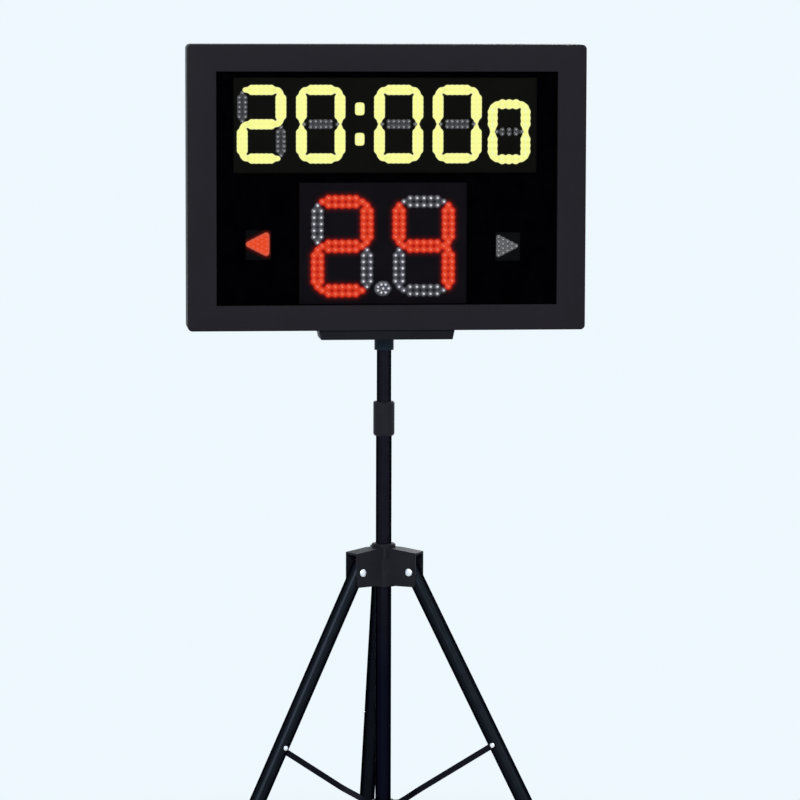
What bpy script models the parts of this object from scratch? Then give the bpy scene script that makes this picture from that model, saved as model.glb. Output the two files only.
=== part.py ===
# Electronic scoreboard on a folding tripod.
# A display head with a game clock, a shot clock and two possession arrows stands
# on a telescoping mast. The stand folds like an umbrella: the hub slides up the
# column, the three legs swing in, and the braces swing up beside them.
# Sizes are in metres. +Z is up, and the display faces -Y.

from math import atan2, cos, hypot, pi, radians, sin

import bmesh
import bpy
from mathutils import Matrix

GAP = 0.0003                  # air between two pieces that touch
ROUND = 24                    # sides of a large round piece
SMALL_ROUND = 10              # sides of a pin, rivet or screw

# Folding stand, measured from the hub's pins
LEG_ANGLE = radians(28.7)     # leg from the vertical, opened out
LEG_LENGTH = 0.650            # hub pin to the floor, along the leg
PIN_RADIUS = 0.049            # hub pin from the mast's axis
RIVET_DOWN_LEG = 0.292        # hub pin to the brace rivet, along the leg
BRACE_PIVOT_RADIUS = 0.024    # lower pivot of a brace from the mast's axis
BRACE_PIVOT_DROP = 0.363      # lower pivot below the hub pins, opened out
LEG_AZIMUTHS = {"rear": radians(90), "left": radians(210), "right": radians(330)}

# Heights that follow from the stand
PIN_HEIGHT = LEG_LENGTH * cos(LEG_ANGLE)
FOOT_RADIUS_FROM_MAST = PIN_RADIUS + LEG_LENGTH * sin(LEG_ANGLE)
BRACE_PIVOT_HEIGHT = PIN_HEIGHT - BRACE_PIVOT_DROP
RIVET_OUT = PIN_RADIUS + RIVET_DOWN_LEG * sin(LEG_ANGLE) - BRACE_PIVOT_RADIUS
RIVET_UP = BRACE_PIVOT_DROP - RIVET_DOWN_LEG * cos(LEG_ANGLE)
BRACE_LENGTH = hypot(RIVET_OUT, RIVET_UP)
BRACE_ANGLE = atan2(RIVET_UP, RIVET_OUT)

# Tubes
LEG_R = 0.012
LEG_WALL = 0.0011
COLUMN_R = 0.0120
COLUMN_WALL = 0.0006
MAST_R = 0.0111
MAST_WALL = 0.0008
LEG_TOP = 0.014               # leg tube above its hub pin
COLUMN_TOP = PIN_HEIGHT + 0.235
COLUMN_BOTTOM = PIN_HEIGHT - 0.388
MAST_BOTTOM = PIN_HEIGHT - 0.170

# Feet
FOOT_R = 0.0145
FOOT_HEIGHT = 0.042
FOOT_SOLE = 0.009             # rubber below the end of the tube

# Hub
NECK_R = 0.0185
HUB_BORE_R = COLUMN_R + 0.0004
NECK_TOP = 0.0405
HUB_BOTTOM = -0.0225
HUB_BODY_R = 0.0208           # stout middle of the hub, between the ears
HUB_BODY_TOP = 0.0185
HUB_BODY_BOTTOM = -0.0245
EAR_REACH = 0.060
EAR_TOP_INNER = 0.0345
EAR_TOP_OUTER = 0.0298
EAR_HALF = 0.0152             # half the width over a pair of ears
EAR_SLOT_HALF = 0.0126
HUB_PIN_R = 0.003
HUB_PIN_HEAD_R = 0.0064
PIN_HOLE_R = HUB_PIN_R + GAP

# Lower collar and braces
COLLAR_R = 0.017
COLLAR_TOP = PIN_HEIGHT - 0.359
COLLAR_HEIGHT = 0.025
LUG_R = 0.0058
LUG_HALF = 0.0050
LUG_SLOT_HALF = 0.0018
BRACE_THICK = 0.0025
BRACE_HALF_WIDTH = 0.0045
BRACE_SIDE = 0.01385          # middle of the strip from the leg's middle plane
JOGGLE_START = 0.014
JOGGLE_END = 0.058
RIVET_R = 0.0019
RIVET_HOLE_R = 0.0022
RIVET_HEAD_R = 0.0040

# Mast clamp
CLAMP_R = 0.0163
CLAMP_TOP = PIN_HEIGHT + 0.259
CLAMP_BOTTOM = PIN_HEIGHT + 0.2065
CLAMP_KNOB_HEIGHT = PIN_HEIGHT + 0.246
HUB_KNOB_AZIMUTH = radians(30)
HUB_KNOB_RISE = 0.006

# Display head. Its own frame has x = 0 and y = 0 on the mast and z = 0 at its underside.
HEAD_BOTTOM = PIN_HEIGHT + 0.3715
HEAD_WIDTH = 0.603
HEAD_HEIGHT = 0.431
HEAD_FRONT = -0.052
HEAD_REAR = 0.012
HEAD_WALL = 0.002
HEAD_CORNER_R = 0.007
WINDOW_WIDTH = 0.516
WINDOW_LOW = 0.0385
WINDOW_HIGH = 0.3905
LIP_DEPTH = 0.011
LIP_WALL = 0.002
FACE_THICK = 0.002
FACE_OVERLAP = 0.006
BOARD_THICK = 0.0016
BOARD_OVERLAP = 0.004
LED_HEIGHT = 0.0045
COVER_THICK = 0.0015
COVER_INSET = 0.0003          # rear cover in from the housing's rear edge
LEDGE_WIDTH = 0.010
FACE_FRONT = HEAD_FRONT + LIP_DEPTH + GAP
FACE_BACK = FACE_FRONT + FACE_THICK
BOARD_FRONT = FACE_BACK + GAP
BOARD_BACK = BOARD_FRONT + BOARD_THICK
COVER_OUTER = HEAD_REAR - COVER_INSET
COVER_INNER = COVER_OUTER - COVER_THICK

# Openings of the black face: centre x, centre z, width, height
TIME_APERTURE = (-0.0022, 0.3096, 0.4595, 0.1436)
SHOT_APERTURE = (-0.0057, 0.1317, 0.2546, 0.1838)
ARROW_APERTURES = {"left": (-0.1945, 0.1295, 0.0384, 0.0460), "right": (0.1842, 0.1260, 0.0384, 0.0440)}

# Digits: stroke spacing across, stroke spacing up, lamp pitch along and across a stroke
CLOCK_DIGIT = (0.0585, 0.0515, 0.0078, 0.0090)
TENTH_DIGIT = (0.0500, 0.0415, 0.0072, 0.0088)
SHOT_DIGIT = (0.0750, 0.0672, 0.0102, 0.0104)
LAMP_R = 0.0027
CLOCK_DIGIT_X = (-0.1893, -0.1001, 0.0178, 0.1065)
CLOCK_DIGIT_Z = 0.3111
TENTH_DIGIT_X = 0.1855
TENTH_DIGIT_Z = 0.2995
COLON_X = -0.0415
COLON_Z = (0.3341, 0.2884)
COLON_SIZE = (0.0160, 0.0210)
SHOT_DIGIT_X = (-0.0674, 0.0563)
SHOT_DIGIT_Z = 0.1271
SHOT_DOT = (-0.0062, 0.0630, 0.0105)
ARROW_LENGTH = 0.034
ARROW_HEIGHT = 0.036
# Segments in the order top, upper left, upper right, middle, lower left, lower right, bottom
SEGMENTS_LIT = {"0": "1110111", "2": "1011101", "4": "0111010"}

# Pieces on and behind the rear cover: centre x, centre z
INLET_AT = (0.222, 0.066)
SWITCH_AT = (0.172, 0.066)
SIGNAL_AT = (0.132, 0.066)
ROCKER_TILT = radians(9)      # rocker held at "on"
SUPPLY_AT = (-0.085, 0.115)
SUPPLY_SIZE = (0.160, 0.030, 0.098)
CONTROL_AT = (0.095, 0.270)
CONTROL_SIZE = (0.150, 0.0016, 0.100)
HORN_AT = (-0.190, 0.300)
HORN_R = 0.034
VENT_SLOTS = 9
VENT_SIZE = (0.070, 0.004)
VENT_STEP = 0.011
VENT_AT = (-0.085, 0.070)

# Mounting tray, mast socket and its thumbscrew
TRAY_HALF = 0.103
TRAY_HEIGHT = 0.0140
TRAY_PLATE = 0.0025
TRAY_FRONT = -0.048
TRAY_REAR = HEAD_REAR + GAP + TRAY_PLATE
UPSTAND_HALF = 0.060
UPSTAND_HEIGHT = 0.045
SOCKET_R = 0.0148
SOCKET_FLANGE_R = 0.0155
SOCKET_BORE_R = MAST_R + 0.0004
SOCKET_BOTTOM = -0.0335
SOCKET_KNOB_Z = -0.0235
MAST_TOP = HEAD_BOTTOM - GAP - TRAY_PLATE - 2 * GAP

# The rear foot reaches further back than the front feet reach forward, so the
# mast stands forward of the middle of the box that the whole object fills.
SOLE_RADIAL = FOOT_R / cos(LEG_ANGLE)
REAR_REACH = FOOT_RADIUS_FROM_MAST + SOLE_RADIAL
SOLE_FORWARD = hypot(SOLE_RADIAL * sin(radians(30)), FOOT_R * cos(radians(30)))
FRONT_REACH = FOOT_RADIUS_FROM_MAST * sin(radians(30)) + SOLE_FORWARD
MAST_Y = -(REAR_REACH - FRONT_REACH) / 2

# Colour, roughness and metallic value of each finish
FINISHES = {
    "frame_black": ((0.018, 0.018, 0.021), 0.55, 0.0),
    "face_black": ((0.003, 0.003, 0.005), 0.70, 0.0),
    "board_black": ((0.006, 0.006, 0.009), 0.40, 0.0),
    "board_green": ((0.010, 0.090, 0.035), 0.40, 0.0),
    "sheet_black": ((0.016, 0.016, 0.018), 0.60, 0.0),
    "tube_black": ((0.008, 0.008, 0.012), 0.30, 0.0),
    "moulded_black": ((0.014, 0.014, 0.016), 0.50, 0.0),
    "rubber_black": ((0.012, 0.012, 0.012), 0.85, 0.0),
    "rivet_bright": ((0.850, 0.850, 0.870), 0.30, 1.0),
    "supply_case": ((0.600, 0.610, 0.620), 0.40, 1.0),
    "lamp_yellow": ((1.000, 0.900, 0.150), 0.30, 0.0),
    "lamp_red": ((1.000, 0.060, 0.020), 0.30, 0.0),
    "lamp_clear": ((0.550, 0.550, 0.580), 0.30, 0.0),
}


def clear_scene():
    for item in list(bpy.data.objects):
        bpy.data.objects.remove(item, do_unlink=True)


def make_collection(name):
    collection = bpy.data.collections.new(name)
    bpy.context.scene.collection.children.link(collection)
    return collection


def make_finish(name):
    if name in bpy.data.materials:
        return bpy.data.materials[name]
    colour, roughness, metallic = FINISHES[name]
    material = bpy.data.materials.new(name)
    material.use_nodes = True
    shader = material.node_tree.nodes["Principled BSDF"]
    shader.inputs["Base Color"].default_value = (*colour, 1.0)
    shader.inputs["Roughness"].default_value = roughness
    shader.inputs["Metallic"].default_value = metallic
    material.diffuse_color = (*colour, 1.0)
    return material


clear_scene()
PARTS = make_collection("electronic_scoreboard")
CUTTERS = make_collection("cutters")


def place(item, parent=None, at=(0, 0, 0), turn=(0, 0, 0)):
    item.location = at
    item.rotation_euler = turn
    if parent:
        item.parent = parent
    return item


def add_empty(name, parent=None, at=(0, 0, 0), turn=(0, 0, 0)):
    empty = bpy.data.objects.new(name, None)
    empty.empty_display_size = 0.02
    PARTS.objects.link(empty)
    return place(empty, parent, at, turn)


def add_object(name, mesh, finish, parent=None, at=(0, 0, 0), turn=(0, 0, 0)):
    item = bpy.data.objects.new(name, mesh)
    PARTS.objects.link(item)
    if finish:
        mesh.materials.append(make_finish(finish))
    mesh.shade_smooth()
    mesh.set_sharp_from_angle(angle=radians(35))
    return place(item, parent, at, turn)


def mesh_from_bmesh(name, bm):
    mesh = bpy.data.meshes.new(name)
    bm.to_mesh(mesh)
    bm.free()
    return mesh


def box_mesh(name, low, high):
    bm = bmesh.new()
    size = [b - a for a, b in zip(low, high)]
    centre = [(a + b) / 2 for a, b in zip(low, high)]
    bmesh.ops.create_cube(bm, size=1.0, matrix=Matrix.Translation(centre) @ Matrix.Diagonal((*size, 1.0)))
    return mesh_from_bmesh(name, bm)


def rod_mesh(name, radius, low, high, axis="Z", sides=SMALL_ROUND, at=(0, 0, 0)):
    turns = {"Z": Matrix(), "X": Matrix.Rotation(pi / 2, 4, "Y"), "Y": Matrix.Rotation(-pi / 2, 4, "X")}
    shift = Matrix.Translation((0, 0, (low + high) / 2))
    bm = bmesh.new()
    bmesh.ops.create_cone(bm, cap_ends=True, segments=sides, radius1=radius, radius2=radius,
                          depth=high - low, matrix=Matrix.Translation(at) @ turns[axis] @ shift)
    return mesh_from_bmesh(name, bm)


def turned_object(name, profile, finish, closed=False, sides=ROUND, **where):
    """Spin a profile of (radius, height) points, run from top to bottom, about Z."""
    mesh = bpy.data.meshes.new(name)
    points = [(r, 0.0, z) for r, z in profile]
    edges = [(i, i + 1) for i in range(len(points) - 1)]
    if closed:
        edges.append((len(points) - 1, 0))
    mesh.from_pydata(points, edges, [])
    item = bpy.data.objects.new(name, mesh)
    PARTS.objects.link(item)
    if finish:
        mesh.materials.append(make_finish(finish))
    spin = item.modifiers.new("turn", "SCREW")
    spin.steps = sides
    spin.render_steps = sides
    spin.use_merge_vertices = True
    spin.merge_threshold = 0.00005
    spin.use_smooth_shade = False
    return place(item, **where)


def tube_object(name, outer, inner, low, high, finish, sides=ROUND, **where):
    profile = [(outer, high), (outer, low), (inner, low), (inner, high)]
    return turned_object(name, profile, finish, closed=True, sides=sides, **where)


def outline_mesh(name, outlines, thickness):
    """Flat outlines in XY, drawn as one curve, thickened evenly about Z = 0."""
    curve = bpy.data.curves.new(name, "CURVE")
    curve.dimensions = "2D"
    curve.fill_mode = "BOTH"
    curve.extrude = thickness / 2
    for outline in outlines:
        spline = curve.splines.new("POLY")
        spline.points.add(len(outline) - 1)
        for point, (x, y) in zip(spline.points, outline):
            point.co = (x, y, 0.0, 1.0)
        spline.use_cyclic_u = True
    drawn = bpy.data.objects.new(name, curve)
    PARTS.objects.link(drawn)
    bpy.context.view_layer.update()
    evaluated = drawn.evaluated_get(bpy.context.evaluated_depsgraph_get())
    mesh = bpy.data.meshes.new_from_object(evaluated)
    mesh.name = name
    bm = bmesh.new()
    bm.from_mesh(mesh)
    bmesh.ops.remove_doubles(bm, verts=bm.verts, dist=0.00001)
    bmesh.ops.recalc_face_normals(bm, faces=bm.faces)
    bm.to_mesh(mesh)
    bm.free()
    bpy.data.objects.remove(drawn, do_unlink=True)
    return mesh


def upright(mesh):
    """Stand a flat outline up: its x stays x, its y becomes z."""
    mesh.transform(Matrix.Rotation(pi / 2, 4, "X"))
    return mesh


def combine(item, tool, operation):
    """Cut the tool from the item, or join it on; the tool is kept as a hidden guide."""
    for collection in list(tool.users_collection):
        collection.objects.unlink(tool)
    if tool.name not in CUTTERS.objects:
        CUTTERS.objects.link(tool)
    tool.hide_render = True
    tool.display_type = "WIRE"
    change = item.modifiers.new(operation.lower(), "BOOLEAN")
    change.operation = operation
    change.solver = "EXACT"
    change.material_mode = "TRANSFER"
    change.object = tool
    return item


def cut(item, tool):
    return combine(item, tool, "DIFFERENCE")


def join(item, tool):
    return combine(item, tool, "UNION")


def cut_box(item, low, high):
    name = item.name + "_cut"
    tool = add_object(name, box_mesh(name, low, high), None, item.parent, item.location, item.rotation_euler)
    return cut(item, tool)


def join_box(item, low, high, finish=None):
    name = item.name + "_block"
    return join(item, add_object(name, box_mesh(name, low, high), finish, item.parent, item.location,
                                 item.rotation_euler))


def cut_rod(item, radius, low, high, axis="Z", sides=SMALL_ROUND, at=(0, 0, 0)):
    name = item.name + "_bore"
    mesh = rod_mesh(name, radius, low, high, axis, sides, at)
    return cut(item, add_object(name, mesh, None, item.parent, item.location, item.rotation_euler))


def join_rod(item, radius, low, high, axis="Z", sides=SMALL_ROUND, at=(0, 0, 0)):
    name = item.name + "_boss"
    mesh = rod_mesh(name, radius, low, high, axis, sides, at)
    return join(item, add_object(name, mesh, None, item.parent, item.location, item.rotation_euler))


def round_edges(item, width, segments=2, angle=30):
    soft = item.modifiers.new("rounded edges", "BEVEL")
    soft.width = width
    soft.segments = segments
    soft.limit_method = "ANGLE"
    soft.angle_limit = radians(angle)
    return item


def star_knob(name, parent, at, turn, stud_r, stud_start, head_start, head_r, head_length):
    """Five-lobed clamp knob on a threaded stud, its axis along local Z."""
    count = 30
    outline = []
    for i in range(count):
        angle = 2 * pi * i / count
        reach = head_r * (0.92 + 0.08 * cos(5 * angle))
        outline.append((reach * cos(angle), reach * sin(angle)))
    head = outline_mesh(name, [outline], head_length)
    head.transform(Matrix.Translation((0, 0, head_start + head_length / 2)))
    knob = add_object(name, head, "moulded_black", parent, at, turn)
    round_edges(knob, 0.0012, 1, 60)
    join_rod(knob, head_r * 0.55, head_start - 0.002, head_start + 0.001, sides=16)
    join_rod(knob, stud_r, stud_start, head_start + 0.002)
    return knob


# Display head


def make_housing(parent):
    half = HEAD_WIDTH / 2
    bm = bmesh.new()
    size = (HEAD_WIDTH, HEAD_REAR - HEAD_FRONT, HEAD_HEIGHT)
    centre = (0, (HEAD_REAR + HEAD_FRONT) / 2, HEAD_HEIGHT / 2)
    bmesh.ops.create_cube(bm, size=1.0, matrix=Matrix.Translation(centre) @ Matrix.Diagonal((*size, 1.0)))
    corners = [e for e in bm.edges if abs(e.verts[0].co.y - e.verts[1].co.y) > 0.01]
    bmesh.ops.bevel(bm, geom=corners, offset=HEAD_CORNER_R, segments=4, profile=0.5, affect="EDGES", material=-1)
    rear = [f for f in bm.faces if all(v.co.y > HEAD_REAR - 0.0001 for v in f.verts)]
    bmesh.ops.delete(bm, geom=rear, context="FACES")
    rim = [e for e in bm.edges if all(v.co.y < HEAD_FRONT + 0.0001 for v in e.verts)]
    bmesh.ops.bevel(bm, geom=rim, offset=0.0015, segments=2, profile=0.5, affect="EDGES", material=-1)
    housing = add_object("housing", mesh_from_bmesh("housing", bm), "frame_black", parent)
    wall = housing.modifiers.new("wall", "SOLIDIFY")
    wall.thickness = HEAD_WALL
    wall.offset = -1.0
    wall.use_even_offset = True
    window_half = WINDOW_WIDTH / 2
    lip_back = HEAD_FRONT + LIP_DEPTH
    join_box(housing, (-window_half - LIP_WALL, HEAD_FRONT + 0.001, WINDOW_LOW - LIP_WALL),
             (window_half + LIP_WALL, lip_back, WINDOW_HIGH + LIP_WALL))
    cut_box(housing, (-window_half, HEAD_FRONT - 0.01, WINDOW_LOW), (window_half, lip_back + 0.01, WINDOW_HIGH))
    ledge_rear = COVER_INNER - GAP
    join_box(housing, (-half + 0.001, ledge_rear - 0.0015, 0.001),
             (half - 0.001, ledge_rear, HEAD_HEIGHT - 0.001))
    inset = HEAD_WALL + LEDGE_WIDTH
    cut_box(housing, (-half + inset, ledge_rear - 0.01, inset),
            (half - inset, ledge_rear + 0.001, HEAD_HEIGHT - inset))
    return housing


def make_face(parent):
    half = WINDOW_WIDTH / 2 + FACE_OVERLAP
    mesh = box_mesh("face_panel", (-half, FACE_FRONT, WINDOW_LOW - FACE_OVERLAP),
                    (half, FACE_BACK, WINDOW_HIGH + FACE_OVERLAP))
    face = add_object("face_panel", mesh, "face_black", parent)
    for x, z, width, height in (TIME_APERTURE, SHOT_APERTURE, *ARROW_APERTURES.values()):
        cut_box(face, (x - width / 2, FACE_FRONT - 0.01, z - height / 2),
                (x + width / 2, FACE_BACK + 0.01, z + height / 2))
    return face


def bar(x, z, half_length, half_width, flat):
    """Six-sided outline round one segment's lamps, lying flat or standing up."""
    shoulder = half_length - 0.9 * half_width
    points = [(half_length, 0.3 * half_width), (shoulder, half_width), (-shoulder, half_width),
              (-half_length, 0.3 * half_width), (-half_length, -0.3 * half_width), (-shoulder, -half_width),
              (shoulder, -half_width), (half_length, -0.3 * half_width)]
    if not flat:
        points = [(-q, p) for p, q in points]
    return [(x + p, z + q) for p, q in points]


def digit_bars(x, z, shape):
    across, up, along_pitch, stroke_pitch = shape
    half_width = stroke_pitch / 2 + LAMP_R
    flat_half = across / 2 - 0.0033
    tall_half = up / 2 - 0.0018
    left, right = x - across / 2, x + across / 2
    return [
        bar(x, z + up, flat_half, half_width, True),
        bar(left, z + up / 2, tall_half, half_width, False),
        bar(right, z + up / 2, tall_half, half_width, False),
        bar(x, z, flat_half, half_width, True),
        bar(left, z - up / 2, tall_half, half_width, False),
        bar(right, z - up / 2, tall_half, half_width, False),
        bar(x, z - up, flat_half, half_width, True),
    ]


def split_by_state(figure, bars):
    lit = [outline for outline, state in zip(bars, SEGMENTS_LIT[figure]) if state == "1"]
    dark = [outline for outline, state in zip(bars, SEGMENTS_LIT[figure]) if state == "0"]
    return lit, dark


def join_lamps(board, outlines, finish):
    """Raise the lamps' outlines from the front of a board."""
    name = board.name + "_" + finish
    sunk = 0.0004
    mesh = upright(outline_mesh(name, outlines, LED_HEIGHT + sunk))
    mesh.transform(Matrix.Translation((0, BOARD_FRONT + sunk - (LED_HEIGHT + sunk) / 2, 0)))
    join(board, add_object(name, mesh, finish, board.parent))


def make_board(name, aperture, parent, overlap=BOARD_OVERLAP):
    x, z, width, height = aperture
    low = (x - width / 2 - overlap, BOARD_FRONT, z - height / 2 - overlap)
    high = (x + width / 2 + overlap, BOARD_BACK, z + height / 2 + overlap)
    return add_object(name, box_mesh(name, low, high), "board_black", parent)


def make_time_board(parent):
    board = make_board("time_board", TIME_APERTURE, parent)
    lit, dark = [], []
    for figure, x in zip("2000", CLOCK_DIGIT_X):
        on, off = split_by_state(figure, digit_bars(x, CLOCK_DIGIT_Z, CLOCK_DIGIT))
        lit += on
        dark += off
    on, off = split_by_state("0", digit_bars(TENTH_DIGIT_X, TENTH_DIGIT_Z, TENTH_DIGIT))
    lit += on
    dark += off
    half_x, half_z = COLON_SIZE[0] / 2, COLON_SIZE[1] / 2
    for z in COLON_Z:
        lit.append([(COLON_X - half_x, z - half_z), (COLON_X + half_x, z - half_z),
                    (COLON_X + half_x, z + half_z), (COLON_X - half_x, z + half_z)])
    join_lamps(board, lit, "lamp_yellow")
    join_lamps(board, dark, "lamp_clear")
    return board


def make_shot_board(parent):
    board = make_board("shot_clock_board", SHOT_APERTURE, parent)
    lit, dark = [], []
    for figure, x in zip("24", SHOT_DIGIT_X):
        on, off = split_by_state(figure, digit_bars(x, SHOT_DIGIT_Z, SHOT_DIGIT))
        lit += on
        dark += off
    x, z, radius = SHOT_DOT
    dark.append([(x + radius * cos(pi * i / 4), z + radius * sin(pi * i / 4)) for i in range(8)])
    join_lamps(board, lit, "lamp_red")
    join_lamps(board, dark, "lamp_clear")
    return board


def make_arrow_board(side, parent):
    x, z, _, _ = ARROW_APERTURES[side]
    board = make_board("arrow_board_" + side, ARROW_APERTURES[side], parent)
    point = -1 if side == "left" else 1
    tip = (x + point * ARROW_LENGTH / 2, z)
    base = x - point * ARROW_LENGTH / 2
    outline = [tip, (base, z + ARROW_HEIGHT / 2), (base, z - ARROW_HEIGHT / 2)]
    join_lamps(board, [outline], "lamp_red" if side == "left" else "lamp_clear")
    return board


def make_rear_cover(parent):
    inset = HEAD_WALL + 0.0004
    sheet = rounded_rectangle(0, HEAD_HEIGHT / 2, HEAD_WIDTH - 2 * inset, HEAD_HEIGHT - 2 * inset,
                              HEAD_CORNER_R)
    mesh = upright(outline_mesh("rear_cover", [sheet], COVER_THICK))
    mesh.transform(Matrix.Translation((0, (COVER_INNER + COVER_OUTER) / 2, 0)))
    cover = add_object("rear_cover", mesh, "sheet_black", parent)
    slots = []
    for x_centre, z_first, count in ((VENT_AT[0], VENT_AT[1], VENT_SLOTS), (CONTROL_AT[0], 0.232, 7),
                                     (HORN_AT[0], HORN_AT[1] - 0.022, 5)):
        for i in range(count):
            z = z_first + i * VENT_STEP
            width = 0.040 if x_centre == HORN_AT[0] else VENT_SIZE[0]
            slots.append(stadium(x_centre, z, width, VENT_SIZE[1]))
    slots.append(rectangle(*INLET_AT, 0.0286, 0.0216))
    slots.append(rectangle(*SWITCH_AT, 0.0136, 0.0196))
    slots.append([(SIGNAL_AT[0] + 0.0079 * cos(pi * i / 8), SIGNAL_AT[1] + 0.0079 * sin(pi * i / 8))
                  for i in range(16)])
    tool_mesh = upright(outline_mesh("rear_cover_slots", slots, 0.01))
    tool_mesh.transform(Matrix.Translation((0, (COVER_INNER + COVER_OUTER) / 2, 0)))
    return cut(cover, add_object("rear_cover_slots", tool_mesh, None, parent))


def rectangle(x, z, width, height):
    return [(x - width / 2, z - height / 2), (x + width / 2, z - height / 2),
            (x + width / 2, z + height / 2), (x - width / 2, z + height / 2)]


def rounded_rectangle(x, z, width, height, radius, steps=4):
    points = []
    for quarter, (sx, sz) in enumerate(((1, 1), (-1, 1), (-1, -1), (1, -1))):
        cx, cz = x + sx * (width / 2 - radius), z + sz * (height / 2 - radius)
        for i in range(steps + 1):
            angle = pi / 2 * (quarter + i / steps)
            points.append((cx + radius * cos(angle), cz + radius * sin(angle)))
    return points


def stadium(x, z, width, height):
    """Slot with round ends."""
    radius = height / 2
    centre = width / 2 - radius
    right = [(x + centre + radius * cos(a), z + radius * sin(a)) for a in (-pi / 2, -pi / 6, pi / 6, pi / 2)]
    left = [(x - centre - radius * cos(a), z - radius * sin(a)) for a in (-pi / 2, -pi / 6, pi / 6, pi / 2)]
    return right + left


def make_power_supply(parent):
    x, z = SUPPLY_AT
    width, depth, height = SUPPLY_SIZE
    back = COVER_INNER - GAP
    mesh = box_mesh("power_supply", (x - width / 2, back - depth, z - height / 2),
                    (x + width / 2, back, z + height / 2))
    supply = round_edges(add_object("power_supply", mesh, "supply_case", parent), 0.0015, 1)
    # The terminal strip lies in a step at the end of the case
    cut_box(supply, (x + width / 2 - 0.022, back - depth - 0.001, z - height / 2 - 0.001),
            (x + width / 2 + 0.001, back - 0.008, z + height / 2 + 0.001))
    join_box(supply, (x + width / 2 - 0.0225, back - 0.022, z - 0.036),
             (x + width / 2 - 0.008, back - 0.007, z + 0.036), "moulded_black")
    return supply


def make_control_board(parent):
    x, z = CONTROL_AT
    width, depth, height = CONTROL_SIZE
    stand = 0.008
    back = COVER_INNER - GAP
    front = back - stand - depth
    mesh = box_mesh("control_board", (x - width / 2, front, z - height / 2),
                    (x + width / 2, front + depth, z + height / 2))
    board = add_object("control_board", mesh, "board_green", parent)
    for dx in (-1, 1):
        for dz in (-1, 1):
            join_rod(board, 0.003, front + 0.0005, back, "Y", 8,
                     (x + dx * (width / 2 - 0.006), 0, z + dz * (height / 2 - 0.006)))
    for dx, dz, wide, tall, thick in ((-0.040, 0.015, 0.024, 0.024, 0.003), (0.015, 0.020, 0.030, 0.012, 0.003),
                                      (0.050, -0.030, 0.022, 0.018, 0.009), (-0.020, -0.034, 0.060, 0.009, 0.009)):
        join_box(board, (x + dx - wide / 2, front - thick, z + dz - tall / 2),
                 (x + dx + wide / 2, front + 0.0005, z + dz + tall / 2), "moulded_black")
    return board


def make_horn(parent):
    back = COVER_INNER - GAP
    profile = [(0, 0.0), (HORN_R + 0.004, 0.0), (HORN_R + 0.004, -0.003), (HORN_R, -0.004),
               (HORN_R * 0.75, -0.018), (HORN_R * 0.62, -0.020), (HORN_R * 0.62, -0.027), (0, -0.027)]
    return turned_object("horn", profile, "moulded_black", parent=parent, at=(HORN_AT[0], back, HORN_AT[1]),
                         turn=(-pi / 2, 0, 0))


def make_power_inlet(parent):
    x, z = INLET_AT
    front = COVER_OUTER + GAP
    mesh = box_mesh("power_inlet", (x - 0.024, front, z - 0.0115), (x + 0.024, front + 0.003, z + 0.0115))
    inlet = round_edges(add_object("power_inlet", mesh, "moulded_black", parent), 0.001, 1)
    join_box(inlet, (x - 0.0138, front - 0.024, z - 0.0103), (x + 0.0138, front + 0.001, z + 0.0103))
    cut_box(inlet, (x - 0.0120, front - 0.015, z - 0.0082), (x + 0.0120, front + 0.004, z + 0.0082))
    for dx, dz in ((-0.007, -0.001), (0.007, -0.001), (0, 0.003)):
        join_box(inlet, (x + dx - 0.001, front - 0.0155, z + dz - 0.002),
                 (x + dx + 0.001, front - 0.0045, z + dz + 0.002), "rivet_bright")
    return inlet


def make_switch(parent):
    x, z = SWITCH_AT
    front = COVER_OUTER + GAP
    mesh = box_mesh("switch_frame", (x - 0.0078, front, z - 0.0108), (x + 0.0078, front + 0.002, z + 0.0108))
    frame = round_edges(add_object("switch_frame", mesh, "moulded_black", parent), 0.0008, 1)
    join_box(frame, (x - 0.0065, front - 0.016, z - 0.0095), (x + 0.0065, front + 0.001, z + 0.0095))
    cut_box(frame, (x - 0.0053, front - 0.009, z - 0.0083), (x + 0.0053, front + 0.004, z + 0.0083))
    # The rocker's outline, seen from the side: a shallow V whose ends are pressed in turn
    pivot = add_empty("switch_joint", parent, (x, front - 0.0005, z), (ROCKER_TILT, 0, 0))
    reach = 0.0072
    outline = [(-reach, 0.0030), (0, 0.0016), (reach, 0.0030), (reach * 0.9, -0.0030), (0, -0.0052),
               (-reach * 0.9, -0.0030)]
    side = outline_mesh("power_switch", [outline], 0.0098)
    # Outline x becomes z, outline y becomes y, and its thickness lies along x
    side.transform(Matrix(((0, 0, 1, 0), (0, 1, 0, 0), (-1, 0, 0, 0), (0, 0, 0, 1))))
    return add_object("power_switch", side, "moulded_black", pivot)


def make_signal_socket(parent):
    x, z = SIGNAL_AT
    front = COVER_OUTER + GAP
    profile = [(0, -0.004), (0.0062, -0.004), (0.0062, 0.0060), (0.0100, 0.0060), (0.0100, 0.0), (0.0075, 0.0),
               (0.0075, -0.016), (0, -0.016)]
    return turned_object("signal_socket", profile, "rivet_bright", sides=16, parent=parent, at=(x, front, z),
                         turn=(-pi / 2, 0, 0))


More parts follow.
